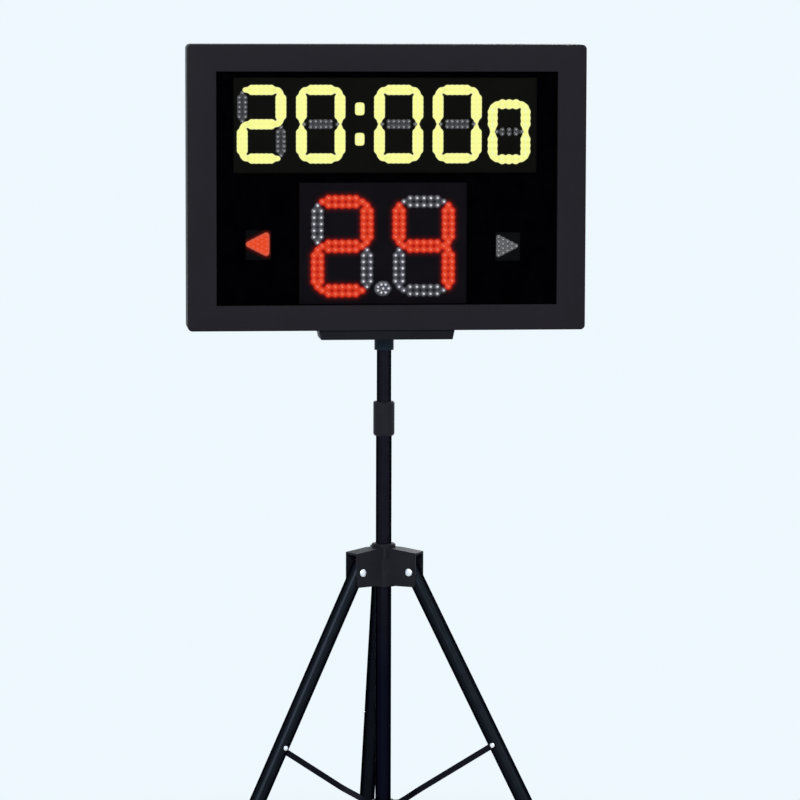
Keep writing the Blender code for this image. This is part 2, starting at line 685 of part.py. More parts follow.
def make_tray(parent):
    top = -GAP
    bottom = top - TRAY_HEIGHT
    slant = 0.003
    outline = [(-TRAY_HALF, top), (TRAY_HALF, top), (TRAY_HALF - slant, bottom), (-TRAY_HALF + slant, bottom)]
    depth = TRAY_REAR - TRAY_FRONT
    mesh = upright(outline_mesh("mounting_tray", [outline], depth))
    mesh.transform(Matrix.Translation((0, (TRAY_REAR + TRAY_FRONT) / 2, 0)))
    tray = add_object("mounting_tray", mesh, "frame_black", parent)
    cut_box(tray, (-TRAY_HALF + slant + TRAY_PLATE, TRAY_FRONT + TRAY_PLATE, bottom - 0.01),
            (TRAY_HALF - slant - TRAY_PLATE, TRAY_REAR + 0.01, top - TRAY_PLATE))
    join_box(tray, (-UPSTAND_HALF, TRAY_REAR - TRAY_PLATE, top - 0.0015),
             (UPSTAND_HALF, TRAY_REAR, UPSTAND_HEIGHT))
    return tray


def make_mast_socket(parent):
    top = -GAP - TRAY_PLATE - GAP
    profile = [(SOCKET_FLANGE_R, top), (SOCKET_FLANGE_R, top - 0.002), (SOCKET_R, top - 0.003),
               (SOCKET_R, SOCKET_BOTTOM), (SOCKET_BORE_R, SOCKET_BOTTOM), (SOCKET_BORE_R, top)]
    socket = turned_object("mast_socket", profile, "tube_black", closed=True, parent=parent)
    return cut_rod(socket, 0.0028, 0.005, 0.020, "Y", SMALL_ROUND, (0, 0, SOCKET_KNOB_Z))


# Mast and column


def make_mast(parent):
    tube = tube_object("inner_mast_tube", MAST_R, MAST_R - MAST_WALL, MAST_BOTTOM, MAST_TOP, "tube_black",
                       parent=parent)
    plug_r = MAST_R - MAST_WALL - GAP
    profile = [(0, MAST_BOTTOM + 0.012), (plug_r, MAST_BOTTOM + 0.012), (plug_r, MAST_BOTTOM - GAP),
               (MAST_R, MAST_BOTTOM - GAP), (MAST_R, MAST_BOTTOM - 0.003), (0, MAST_BOTTOM - 0.003)]
    turned_object("inner_mast_plug", profile, "moulded_black", parent=parent)
    return tube


def make_column(parent):
    tube_object("outer_mast_tube", COLUMN_R, COLUMN_R - COLUMN_WALL, COLUMN_BOTTOM, COLUMN_TOP, "tube_black",
                parent=parent)
    plug_r = COLUMN_R - COLUMN_WALL - GAP
    profile = [(0, COLUMN_BOTTOM + 0.014), (plug_r, COLUMN_BOTTOM + 0.014), (plug_r, COLUMN_BOTTOM - GAP),
               (COLUMN_R, COLUMN_BOTTOM - GAP), (COLUMN_R - 0.001, COLUMN_BOTTOM - 0.004),
               (0, COLUMN_BOTTOM - 0.004)]
    turned_object("column_cap", profile, "rubber_black", parent=parent)


def make_mast_clamp(parent):
    step = COLUMN_TOP + GAP
    wide, narrow = COLUMN_R + GAP, MAST_R + 0.00035
    edge = 0.0015
    profile = [(CLAMP_R - edge, CLAMP_TOP), (CLAMP_R, CLAMP_TOP - edge), (CLAMP_R, CLAMP_BOTTOM + 0.003),
               (CLAMP_R - 0.002, CLAMP_BOTTOM), (wide, CLAMP_BOTTOM), (wide, step), (narrow, step),
               (narrow, CLAMP_TOP)]
    clamp = turned_object("mast_clamp", profile, "moulded_black", closed=True, parent=parent)
    join_rod(clamp, 0.0075, 0.013, 0.0205, "Y", 16, (0, 0, CLAMP_KNOB_HEIGHT))
    return cut_rod(clamp, 0.0033, 0.005, 0.030, "Y", SMALL_ROUND, (0, 0, CLAMP_KNOB_HEIGHT))


def lug_outline():
    """Side view of a brace lug on the lower collar: out from the sleeve, round over the pivot."""
    x0, z0 = BRACE_PIVOT_RADIUS, BRACE_PIVOT_HEIGHT
    arc = [(x0 + LUG_R * cos(radians(a)), z0 + LUG_R * sin(radians(a))) for a in range(-70, 91, 20)]
    return [(0.0125, z0 - 0.016)] + arc + [(0.0125, z0 + LUG_R - 0.002)]


def make_lower_collar(parent):
    collar = tube_object("lower_collar", COLLAR_R, COLUMN_R + GAP, COLLAR_TOP - COLLAR_HEIGHT, COLLAR_TOP,
                         "moulded_black", parent=parent)
    for azimuth in LEG_AZIMUTHS.values():
        turn = (0, 0, azimuth)
        lug = add_object("collar_lug", upright(outline_mesh("collar_lug", [lug_outline()], 2 * LUG_HALF)), None,
                         parent, turn=turn)
        join(collar, lug)
    for azimuth in LEG_AZIMUTHS.values():
        turn = (0, 0, azimuth)
        slot = box_mesh("collar_slot", (COLLAR_R + 0.0008, -LUG_SLOT_HALF, BRACE_PIVOT_HEIGHT - 0.03),
                        (0.040, LUG_SLOT_HALF, BRACE_PIVOT_HEIGHT + 0.03))
        cut(collar, add_object("collar_slot", slot, None, parent, turn=turn))
        hole = rod_mesh("collar_hole", RIVET_HOLE_R, -0.01, 0.01, "Y", SMALL_ROUND,
                        (BRACE_PIVOT_RADIUS, 0, BRACE_PIVOT_HEIGHT))
        cut(collar, add_object("collar_hole", hole, None, parent, turn=turn))
    return collar


def rivet(name, parent, at, azimuth, shank_r, head_r, low, high, heads=(True, True), head_depth=0.002):
    """Round rivet across a leg's plane; low and high are where its two heads bear."""
    if heads[1]:
        top = high + GAP
        profile = [(0, top + head_depth), (head_r * 0.55, top + head_depth * 0.85),
                   (head_r, top + head_depth * 0.2), (head_r, top), (shank_r, top)]
    else:
        profile = [(0, high), (shank_r, high)]
    if heads[0]:
        base = low - GAP
        profile += [(shank_r, base), (head_r, base), (head_r, base - head_depth * 0.2),
                    (head_r * 0.55, base - head_depth * 0.85), (0, base - head_depth)]
    else:
        profile += [(shank_r, low), (0, low)]
    return turned_object(name, profile, "rivet_bright", sides=SMALL_ROUND, parent=parent, at=at,
                         turn=(-pi / 2, 0, azimuth))


# Hub, legs and braces


def hub_outline():
    """Side view of one pair of ears: sloping top, square end, lower corner eased."""
    return [(0.012, HUB_BOTTOM), (EAR_REACH - 0.003, HUB_BOTTOM), (EAR_REACH, HUB_BOTTOM + 0.003),
            (EAR_REACH, EAR_TOP_OUTER), (0.022, EAR_TOP_INNER), (0.012, EAR_TOP_INNER)]


def make_hub(parent):
    hub = turned_object("hub", [(0, NECK_TOP), (NECK_R - 0.0015, NECK_TOP), (NECK_R, NECK_TOP - 0.0015),
                                (NECK_R, HUB_BOTTOM), (0, HUB_BOTTOM)], "moulded_black", parent=parent)
    for azimuth in LEG_AZIMUTHS.values():
        ears = upright(outline_mesh("hub_ears", [hub_outline()], 2 * EAR_HALF))
        join(hub, add_object("hub_ears", ears, None, parent, turn=(0, 0, azimuth)))
    join_rod(hub, HUB_BODY_R, HUB_BODY_BOTTOM, HUB_BODY_TOP, "Z", ROUND)
    boss = rod_mesh("hub_boss", 0.0068, 0.012, 0.0255, "X", 16, (0, 0, HUB_KNOB_RISE))
    join(hub, add_object("hub_boss", boss, None, parent, turn=(0, 0, HUB_KNOB_AZIMUTH)))
    for azimuth in LEG_AZIMUTHS.values():
        turn = (0, 0, azimuth)
        slot = [(0.0235, HUB_BOTTOM - 0.01), (0.08, HUB_BOTTOM - 0.01), (0.08, EAR_TOP_OUTER - 0.0055),
                (0.0235, EAR_TOP_INNER - 0.0035)]
        tool = upright(outline_mesh("hub_slot", [slot], 2 * EAR_SLOT_HALF))
        cut(hub, add_object("hub_slot", tool, None, parent, turn=turn))
        hole = rod_mesh("hub_pin_hole", PIN_HOLE_R, -0.03, 0.03, "Y", SMALL_ROUND, (PIN_RADIUS, 0, 0))
        cut(hub, add_object("hub_pin_hole", hole, None, parent, turn=turn))
    cut_rod(hub, HUB_BORE_R, -0.05, 0.06, "Z", ROUND)
    stud_hole = rod_mesh("hub_stud_hole", 0.0033, 0.008, 0.030, "X", SMALL_ROUND, (0, 0, HUB_KNOB_RISE))
    return cut(hub, add_object("hub_stud_hole", stud_hole, None, parent, turn=(0, 0, HUB_KNOB_AZIMUTH)))


def make_leg(side, azimuth, hub_parent):
    at = (PIN_RADIUS * cos(azimuth), PIN_RADIUS * sin(azimuth), 0)
    pivot = add_empty("leg_joint_" + side, hub_parent, at, (0, -LEG_ANGLE, azimuth))
    tube_end = -(LEG_LENGTH - FOOT_SOLE / cos(LEG_ANGLE) - LEG_R * sin(LEG_ANGLE) / cos(LEG_ANGLE))
    leg = tube_object("leg_tube_" + side, LEG_R, LEG_R - LEG_WALL, tube_end, LEG_TOP, "tube_black", sides=20,
                      parent=pivot)
    cut_rod(leg, PIN_HOLE_R, -0.02, 0.02, "Y")
    cut_rod(leg, RIVET_HOLE_R, -0.02, 0.02, "Y", SMALL_ROUND, (0, 0, -RIVET_DOWN_LEG))
    plug_r = LEG_R - LEG_WALL - GAP
    plug = turned_object("leg_plug_" + side, [(0, LEG_TOP + 0.0025), (LEG_R - 0.001, LEG_TOP + 0.0025),
                                              (LEG_R, LEG_TOP + 0.0015), (LEG_R, LEG_TOP + GAP),
                                              (plug_r, LEG_TOP + GAP), (plug_r, -0.012), (0, -0.012)],
                         "moulded_black", sides=20, parent=pivot)
    cut_rod(plug, PIN_HOLE_R, -0.02, 0.02, "Y")
    rivet("leg_rivet_" + side, pivot, (0, 0, -RIVET_DOWN_LEG), 0, RIVET_R, RIVET_HEAD_R,
          -LEG_R + GAP, LEG_R, heads=(False, True))
    make_foot(side, pivot, tube_end)
    return pivot


def make_foot(side, pivot, tube_end):
    """Rubber cap on the tube's end, cut off level with the floor when the leg is out."""
    top = tube_end + FOOT_HEIGHT
    bottom = -LEG_LENGTH - FOOT_R * sin(LEG_ANGLE) / cos(LEG_ANGLE) - 0.002
    bore = LEG_R + GAP
    profile = [(bore, top), (FOOT_R - 0.0012, top), (FOOT_R - 0.0004, top - 0.0012), (FOOT_R, bottom), (0, bottom),
               (0, tube_end - GAP), (bore, tube_end - GAP)]
    foot = turned_object("foot_" + side, [(0, tube_end - GAP), (bore, tube_end - GAP)] + profile[:5],
                         "rubber_black", sides=20, parent=pivot)
    tool = add_object("floor_cut_" + side, box_mesh("floor_cut", (-0.06, -0.03, -0.05), (0.06, 0.03, 0)), None,
                      pivot, (0, 0, -LEG_LENGTH), (0, LEG_ANGLE, 0))
    return cut(foot, tool)


def joggle(distance):
    """Sideways place of the brace at a distance from its lower pivot."""
    share = (distance - JOGGLE_START) / (JOGGLE_END - JOGGLE_START)
    share = min(max(share, 0.0), 1.0)
    return -BRACE_SIDE * share * share * (3 - 2 * share)


def make_brace(side, azimuth, parent):
    at = (BRACE_PIVOT_RADIUS * cos(azimuth), BRACE_PIVOT_RADIUS * sin(azimuth), BRACE_PIVOT_HEIGHT)
    pivot = add_empty("brace_joint_" + side, parent, at, (0, -BRACE_ANGLE, azimuth))
    bm = bmesh.new()
    stops = 12
    step = (JOGGLE_END - JOGGLE_START) / stops
    bmesh.ops.create_cube(bm, size=1.0, matrix=Matrix.Translation((BRACE_LENGTH / 2, 0, 0)) @
                          Matrix.Diagonal((BRACE_LENGTH, BRACE_THICK, 2 * BRACE_HALF_WIDTH, 1.0)))
    for i in range(stops + 1):
        geometry = list(bm.verts) + list(bm.edges) + list(bm.faces)
        bmesh.ops.bisect_plane(bm, geom=geometry, plane_co=(JOGGLE_START + i * step, 0, 0), plane_no=(1, 0, 0))
    for vert in bm.verts:
        vert.co.y += joggle(vert.co.x)
    brace = add_object("brace_" + side, mesh_from_bmesh("brace", bm), "tube_black", pivot)
    end_y = joggle(BRACE_LENGTH)
    for x, y in ((0, 0), (BRACE_LENGTH, end_y)):
        join_rod(brace, BRACE_HALF_WIDTH, y - BRACE_THICK / 2, y + BRACE_THICK / 2, "Y", 16, (x, 0, 0))
    for x, y in ((0, 0), (BRACE_LENGTH, end_y)):
        cut_rod(brace, RIVET_HOLE_R, y - 0.01, y + 0.01, "Y", SMALL_ROUND, (x, 0, 0))
    rivet("brace_rivet_" + side, pivot, (BRACE_LENGTH, 0, 0), 0, RIVET_R, RIVET_HEAD_R,
          end_y - BRACE_THICK / 2, end_y + BRACE_THICK / 2, heads=(True, False))
    return pivot


def build():
    stand = add_empty("stand_axis", None, (0, MAST_Y, 0))
    make_column(stand)
    make_mast_clamp(stand)
    make_lower_collar(stand)
    hub_joint = add_empty("hub_joint", stand, (0, 0, PIN_HEIGHT))
    make_hub(hub_joint)
    for side, azimuth in LEG_AZIMUTHS.items():
        pin_at = (PIN_RADIUS * cos(azimuth), PIN_RADIUS * sin(azimuth), 0)
        rivet("hub_pin_" + side, hub_joint, pin_at, azimuth, HUB_PIN_R, HUB_PIN_HEAD_R, -EAR_HALF, EAR_HALF,
              head_depth=0.0025)
        pivot_at = (BRACE_PIVOT_RADIUS * cos(azimuth), BRACE_PIVOT_RADIUS * sin(azimuth), BRACE_PIVOT_HEIGHT)
        rivet("collar_pin_" + side, stand, pivot_at, azimuth, RIVET_R, 0.0035, -LUG_HALF, LUG_HALF, head_depth=0.0015)
        make_leg(side, azimuth, hub_joint)
        make_brace(side, azimuth, stand)
    star_knob("hub_knob", hub_joint, (0, 0, HUB_KNOB_RISE), (0, pi / 2, HUB_KNOB_AZIMUTH), 0.003,
              COLUMN_R + GAP, 0.0280, 0.0118, 0.014)
    star_knob("mast_clamp_knob", stand, (0, 0, CLAMP_KNOB_HEIGHT), (0, pi / 2, pi / 2), 0.003,
              MAST_R + GAP, 0.0230, 0.0120, 0.014)
    mast_joint = add_empty("mast_joint", stand)
    make_mast(mast_joint)
    head = add_empty("head_joint", mast_joint, (0, 0, HEAD_BOTTOM))
    make_housing(head)
    make_face(head)
    make_time_board(head)
    make_shot_board(head)
    make_arrow_board("left", head)
    make_arrow_board("right", head)
    make_rear_cover(head)
    make_power_supply(head)
    make_control_board(head)
    make_horn(head)
    make_power_inlet(head)
    make_switch(head)
    make_signal_socket(head)
    make_tray(head)
    make_mast_socket(head)
    star_knob("socket_knob", head, (0, 0, SOCKET_KNOB_Z), (0, pi / 2, pi / 2), 0.0025, MAST_R + GAP,
              SOCKET_R + 0.0025, 0.0085, 0.012)
    bpy.context.view_layer.update()


build()
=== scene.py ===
# Electronic scoreboard on a folding tripod: looks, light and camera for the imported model.
from math import cos, pi, radians, sin

import bmesh
import bpy
import numpy as np
from mathutils import Matrix, Vector


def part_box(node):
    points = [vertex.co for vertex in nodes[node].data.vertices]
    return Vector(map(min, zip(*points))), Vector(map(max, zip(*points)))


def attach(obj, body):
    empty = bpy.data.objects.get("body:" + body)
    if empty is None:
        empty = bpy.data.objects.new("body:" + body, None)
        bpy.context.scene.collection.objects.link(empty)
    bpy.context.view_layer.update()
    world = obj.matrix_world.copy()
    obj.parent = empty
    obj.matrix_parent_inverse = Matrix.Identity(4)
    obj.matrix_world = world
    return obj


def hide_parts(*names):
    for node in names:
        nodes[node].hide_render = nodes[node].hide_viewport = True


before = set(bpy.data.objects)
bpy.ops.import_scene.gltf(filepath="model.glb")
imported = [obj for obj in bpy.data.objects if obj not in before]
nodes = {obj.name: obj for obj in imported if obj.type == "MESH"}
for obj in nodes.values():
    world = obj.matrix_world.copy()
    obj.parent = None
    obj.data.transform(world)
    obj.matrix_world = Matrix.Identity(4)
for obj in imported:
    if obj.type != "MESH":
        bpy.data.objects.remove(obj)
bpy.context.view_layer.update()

mastY = (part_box("inner_mast_tube")[0][1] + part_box("inner_mast_tube")[1][1]) / 2
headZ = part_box("housing")[0][2]  # underside of the display head
pinZ = headZ - 0.3715            # hub pins
legAzimuths = {"rear": 90, "left": 210, "right": 330}
print("stage: frame loaded, mast at y %.4f, head at z %.4f" % (mastY, headZ))


def hexColour(text):  # sRGB hex to the linear colour that Blender keeps
    values = [int(text[i:i + 2], 16) / 255 for i in (1, 3, 5)]
    return (*[v / 12.92 if v <= 0.04045 else ((v + 0.055) / 1.055) ** 2.4 for v in values], 1.0)


def addNode(tree, kind, inputs=None, **settings):  # its settings, and a value or a link for each input
    node = tree.nodes.new(kind)
    for key, value in settings.items():
        setattr(node, key, value)
    for key, value in (inputs or {}).items():
        if isinstance(value, bpy.types.NodeSocket):
            tree.links.new(value, node.inputs[key])
        else:
            node.inputs[key].default_value = value
    return node


def noise(tree, place, sizeMm, detail=2.0):  # soft noise with clouds of about this size
    inputs = {"Vector": place, "Scale": 1000 / sizeMm, "Detail": detail}
    return addNode(tree, "ShaderNodeTexNoise", inputs).outputs["Fac"]


def attribute(tree, name):  # a level that the mesh holds for each point
    return addNode(tree, "ShaderNodeAttribute", attribute_name=name).outputs["Fac"]


def ranged(tree, value, low, high, start=0.0, end=1.0, **settings):  # start to end becomes low to high
    inputs = {"Value": value, "From Min": start, "From Max": end, "To Min": low, "To Max": high}
    return addNode(tree, "ShaderNodeMapRange", inputs, **settings).outputs["Result"]


def toned(tree, level, *stops):  # a level becomes a colour: (position, hex) for each stop of a ramp
    ramp = addNode(tree, "ShaderNodeValToRGB", {"Fac": level})
    elements = ramp.color_ramp.elements
    while len(elements) < len(stops):
        elements.new(0.5)
    for element, (position, colour) in zip(elements, stops):
        element.position = position
        element.color = hexColour(colour)
    return ramp.outputs["Color"]


def mixed(tree, share, first, second):  # two colours, the second one by its share
    inputs = {"Factor": share, "A": first, "B": second}
    return addNode(tree, "ShaderNodeMix", inputs, data_type="RGBA").outputs["Result"]


def bumped(tree, height, strength, depthMm):  # relief of this depth, for the shader's Normal
    inputs = {"Height": height, "Strength": strength, "Distance": depthMm / 1000}
    return addNode(tree, "ShaderNodeBump", inputs).outputs["Normal"]


def newMaterial(name, **values):  # even values go straight on the shader's own sockets
    material = bpy.data.materials.new(name)
    material.use_nodes = True
    tree = material.node_tree
    shader = tree.nodes["Principled BSDF"]
    for key, value in values.items():
        socket = shader.inputs[key.replace("_", " ")]
        socket.default_value = hexColour(value) if isinstance(value, str) else value
    place = addNode(tree, "ShaderNodeTexCoord").outputs["Object"]
    return material, tree, shader, place


def linkTo(shader, **outputs):  # uneven values come over a link
    for key, output in outputs.items():
        shader.id_data.links.new(output, shader.inputs[key.replace("_", " ")])


def satinPowderCoat(name, colour, paler):
    # Polyester powder coat baked on sheet steel: an even satin black with a slight orange peel.
    look = {"cloudMm": 60, "rough": (0.45, 0.56), "peelMm": 1.8, "peelStrength": 0.5, "peelDepthMm": 0.012}
    material, tree, shader, place = newMaterial(name, IOR=1.5, Specular_IOR_Level=0.06)
    cloud = noise(tree, place, look["cloudMm"], 4.0)
    peel = noise(tree, place, look["peelMm"], 1.0)
    linkTo(shader, Base_Color=toned(tree, cloud, (0.3, colour), (0.75, paler)),
           Roughness=ranged(tree, cloud, *look["rough"]),
           Normal=bumped(tree, peel, look["peelStrength"], look["peelDepthMm"]))
    return material


def matteFaceSheet():
    # Polycarbonate sheet printed matt black: the deepest black on the head, so that the lamps stand out.
    look = {"black": "#000001", "dust": "#030305", "dustMm": 25, "rough": (0.62, 0.80), "grainMm": 0.8,
            "grainStrength": 0.3, "grainDepthMm": 0.01}
    material, tree, shader, place = newMaterial("mattePolycarbonateFace", IOR=1.58, Specular_IOR_Level=0.003)
    dust = noise(tree, place, look["dustMm"], 5.0)
    grain = noise(tree, place, look["grainMm"])
    linkTo(shader, Base_Color=toned(tree, dust, (0.4, look["black"]), (0.9, look["dust"])),
           Roughness=ranged(tree, dust, *look["rough"]),
           Normal=bumped(tree, grain, look["grainStrength"], look["grainDepthMm"]))
    return material


def blackSolderMask(name, low, high, pale, paleFrom, glowStops):
    # Glass-epoxy circuit board under black solder mask: a shade lighter than the face. Where lamps are on,
    # their light on the board is painted as a glow. Where clear lenses that are off pass daylight on to it,
    # that daylight is painted as a greyer colour. Two attributes hold how much of each is painted on a point.
    look = {"cloudMm": 35, "rough": (0.42, 0.55), "weaveMm": 1.2, "weaveStrength": 0.25, "weaveDepthMm": 0.02}
    material, tree, shader, place = newMaterial(name, IOR=1.5, Specular_IOR_Level=0.012,
                                                Emission_Strength=1.0)
    cloud = noise(tree, place, look["cloudMm"], 3.0)
    weave = noise(tree, place, look["weaveMm"])
    # painted daylight: the mask's colour turns grey near lamps that are off
    daylight = ranged(tree, attribute(tree, "paintedDaylight"), 0.0, 1.0, *paleFrom)
    mask = toned(tree, cloud, (0.3, low), (0.7, high))
    linkTo(shader, Base_Color=mixed(tree, daylight, mask, hexColour(pale)),
           Roughness=ranged(tree, cloud, *look["rough"]),
           # painted glow: the board gives off light where the lamps that are on would light it
           Emission_Color=toned(tree, attribute(tree, "paintedLampGlow"), *glowStops),
           Normal=bumped(tree, weave, look["weaveStrength"], look["weaveDepthMm"]))
    return material


def epoxyLamp(name, body, domeHighlight, lit=None):
    # Epoxy lens of a 5 mm lamp: its colour pales towards the top of the dome as a painted highlight, and when
    # the lamp is on, a bright core in a deeper rim. The attribute lampTip runs from 0 at the board to 1.
    look = {"spreadMm": 25 / 3, "spread": 0.12}  # one lamp differs a little from the next
    material, tree, shader, place = newMaterial(name, IOR=1.53, Roughness=0.16, Specular_IOR_Level=0.3,
                                                Emission_Strength=1.0 if lit else 0.0)
    inputs = {0: noise(tree, place, look["spreadMm"]), 1: look["spread"], 2: attribute(tree, "lampTip")}
    level = addNode(tree, "ShaderNodeMath", inputs, operation="MULTIPLY_ADD").outputs["Value"]
    # painted highlight: the base colour runs from the body colour to the paler colour at the top of the dome
    linkTo(shader, Base_Color=toned(tree, level, (0.35, body), (0.95, domeHighlight)))
    if lit:
        linkTo(shader, Emission_Color=toned(tree, level, (0.30, lit[0]), (0.90, lit[1])))
    return material


def stovedLacquer(name, colour, paler, low=None):
    # Thin black lacquer stoved on drawn steel tube: the metal's sheen comes through it, so that a soft
    # light runs along the middle between dark edges. Faint lines follow the draw. Below the hub the
    # column's colour turns darker: this is painted shade.
    look = {"scuffMm": 18, "rough": (0.34, 0.40), "lineMm": 1.2, "lineStretch": (1.0, 1.0, 0.05),
            "lineStrength": 0.3, "lineDepthMm": 0.02, "paintedShadeFrom": 0.40, "paintedShadeTo": 0.56}
    material, tree, shader, place = newMaterial(name, Metallic=1.0, Specular_Tint="#000000")
    scuff = noise(tree, place, look["scuffMm"], 5.0)
    finish = toned(tree, scuff, (0.35, colour), (0.8, paler))
    # painted shade: the column's colour turns to the darker low colour below the hub
    if low:
        height = addNode(tree, "ShaderNodeSeparateXYZ", {"Vector": place}).outputs["Z"]
        share = ranged(tree, height, 0.0, 1.0, look["paintedShadeFrom"], look["paintedShadeTo"])
        finish = mixed(tree, share, hexColour(low), finish)
    inputs = {"Vector": place, "Scale": look["lineStretch"]}
    lines = noise(tree, addNode(tree, "ShaderNodeMapping", inputs).outputs["Vector"], look["lineMm"])
    linkTo(shader, Base_Color=finish, Roughness=ranged(tree, scuff, *look["rough"]),
           Normal=bumped(tree, lines, look["lineStrength"], look["lineDepthMm"]))
    return material


def mouldedNylon():
    # Glass-filled black nylon from a spark-eroded mould: a fine even grain, dull with soft highlights.
    look = {"black": "#15161B", "paler": "#1B1C23", "flowMm": 22, "rough": (0.45, 0.58), "grainMm": 0.7,
            "grainStrength": 0.5, "grainDepthMm": 0.04}
    material, tree, shader, place = newMaterial("mouldedNylon", IOR=1.53, Specular_IOR_Level=0.08)
    flow = noise(tree, place, look["flowMm"], 4.0)
    inputs = {"Vector": place, "Scale": 1000 / look["grainMm"]}
    grain = addNode(tree, "ShaderNodeTexVoronoi", inputs, feature="SMOOTH_F1").outputs["Distance"]
    linkTo(shader, Base_Color=toned(tree, flow, (0.3, look["black"]), (0.8, look["paler"])),
           Roughness=ranged(tree, flow, *look["rough"]),
           Normal=bumped(tree, grain, look["grainStrength"], look["grainDepthMm"]))
    return material


def mouldedRubber():
    # Black natural rubber, moulded: no shine, a little grey bloom, scuffed near the floor.
    look = {"black": "#111112", "bloom": "#1E1E20", "dust": "#3A3937", "bloomMm": 9, "rough": (0.72, 0.9),
            "dustHigh": 0.014, "dustShare": 0.35, "grainMm": 0.6, "grainStrength": 0.4, "grainDepthMm": 0.05}
    material, tree, shader, place = newMaterial("mouldedRubber", IOR=1.52, Specular_IOR_Level=0.08)
    bloom = noise(tree, place, look["bloomMm"], 6.0)
    height = addNode(tree, "ShaderNodeSeparateXYZ", {"Vector": place}).outputs["Z"]
    dust = ranged(tree, height, 0.0, look["dustShare"], look["dustHigh"], 0.0)
    level = addNode(tree, "ShaderNodeMath", {0: bloom, 1: dust}, operation="ADD").outputs["Value"]
    grain = noise(tree, place, look["grainMm"])
    tones = (0.35, look["black"]), (0.65, look["bloom"]), (1.0, look["dust"])
    linkTo(shader, Base_Color=toned(tree, level, *tones), Roughness=ranged(tree, bloom, *look["rough"]),
           Normal=bumped(tree, grain, look["grainStrength"], look["grainDepthMm"]))
    return material


def plainMetal(name, dull, bright, rough, spangleMm):
    # Bare or plated metal: a clean reflection, broken by fine differences in roughness.
    material, tree, shader, place = newMaterial(name, Metallic=1.0)
    spangle = noise(tree, place, spangleMm, 3.0)
    linkTo(shader, Base_Color=toned(tree, spangle, (0.3, dull), (0.7, bright)),
           Roughness=ranged(tree, spangle, rough - 0.07, rough + 0.07))
    return material


def greenSolderMask():
    # Circuit board under green solder mask: glossy, with copper tracks showing as paler lines.
    look = {"perM": 180.0, "mask": "#0E4A2A", "paler": "#12552F", "track": "#1E7A45", "trackWidth": 0.03}
    material, tree, shader, place = newMaterial("greenSolderMask", IOR=1.5, Roughness=0.3,
                                                Specular_IOR_Level=0.4)
    inputs = {"Vector": place, "Scale": look["perM"], "Color1": hexColour(look["mask"]),
              "Color2": hexColour(look["paler"]), "Mortar": hexColour(look["track"]),
              "Mortar Size": look["trackWidth"]}
    linkTo(shader, Base_Color=addNode(tree, "ShaderNodeTexBrick", inputs).outputs["Color"])
    return material


mat = {
    "housing": satinPowderCoat("powderCoatFrame", "#1A181D", "#1C1A20"),
    "sheet": satinPowderCoat("powderCoatCover", "#1A1A1D", "#1F1F22"),
    "tray": satinPowderCoat("powderCoatTray", "#101217", "#13151A"),
    "socket": satinPowderCoat("powderCoatSocket", "#17222B", "#1B262F"),
    "face": matteFaceSheet(),
    # each board's grey is painted daylight, and its ramp gives the colours of painted lamp glow
    "timeBoard": blackSolderMask("timeBoardMaskPaintedLight", "#0A0A08", "#0C0C0A", "#48484C", (0.5, 0.8), (
        (0.10, "#000000"), (0.24, "#0C0D00"), (0.33, "#3A3D08"), (0.375, "#F8F9BA"), (0.48, "#F9FAA0"),
        (0.66, "#F1F58A"), (0.88, "#EDF5C8"))),
    "shotBoard": blackSolderMask("shotBoardMaskPaintedLight", "#0C0A0E", "#0F0D12", "#5C5C64", (0.25, 0.78), (
        (0.0, "#000000"), (0.012, "#1C0000"), (0.06, "#2C0200"), (0.14, "#440501"), (0.26, "#780F03"),
        (0.38, "#B81A06"), (0.53, "#D23416"), (0.67, "#DE3E1C"), (1.0, "#F25836"))),
    "leftBoard": blackSolderMask("leftArrowBoardMaskPaintedLight", "#050607", "#08090A", "#48484C", (0.2, 0.5), (
        (0.0, "#000000"), (0.03, "#180000"), (0.14, "#3A0300"), (0.28, "#5C0A04"), (0.45, "#B44C3A"),
        (0.58, "#D66048"), (0.74, "#DD5033"), (0.98, "#E44821"))),
    "rightBoard": blackSolderMask("rightArrowBoardMaskPaintedLight", "#060708", "#0C0E10", "#66666A", (0.38, 0.58), (
        (0.0, "#000000"), (1.0, "#000000"))),
    # the second colour of each lamp is a painted highlight at the top of its dome; the pair after it is the
    # lamp's own light
    "yellowLamp": epoxyLamp("epoxyLampYellow", "#2C2C12", "#3A3A1A", ("#EFF38A", "#F9FB9C")),
    "redLamp": epoxyLamp("epoxyLampRed", "#200402", "#2C0804", ("#CE3616", "#F66644")),
    "arrowLamp": epoxyLamp("epoxyLampArrow", "#200402", "#2C0804", ("#DC4420", "#E84F2D")),
    "clearLampTime": epoxyLamp("epoxyLampDarkYellow", "#56565A", "#8A8A90"),
    "clearLampShot": epoxyLamp("epoxyLampDarkRed", "#74747C", "#EEEEF2"),
    "clearLampArrow": epoxyLamp("epoxyLampDarkArrow", "#686868", "#98989A"),
    "tube": stovedLacquer("stovedLacquerTube", "#16161D", "#1A1A22"),
    # the last colour is painted shade on the column below the hub
    "column": stovedLacquer("stovedLacquerColumnPaintedShade", "#16161D", "#1A1A22", "#0C0E1A"),
    "leg": stovedLacquer("stovedLacquerLeg", "#13161B", "#161A20"),
    "moulded": mouldedNylon(),
    "rubber": mouldedRubber(),
    "zinc": plainMetal("zincPlatedSteel", "#E0E2EA", "#F6F8FF", 0.30, 1.5),
    "nickel": plainMetal("blackNickel", "#4A4B4F", "#5E6064", 0.32, 1.0),
    "aluminium": plainMetal("millAluminium", "#A6A8AA", "#BCBEC0", 0.38, 2.5),
    "greenBoard": greenSolderMask(),
}
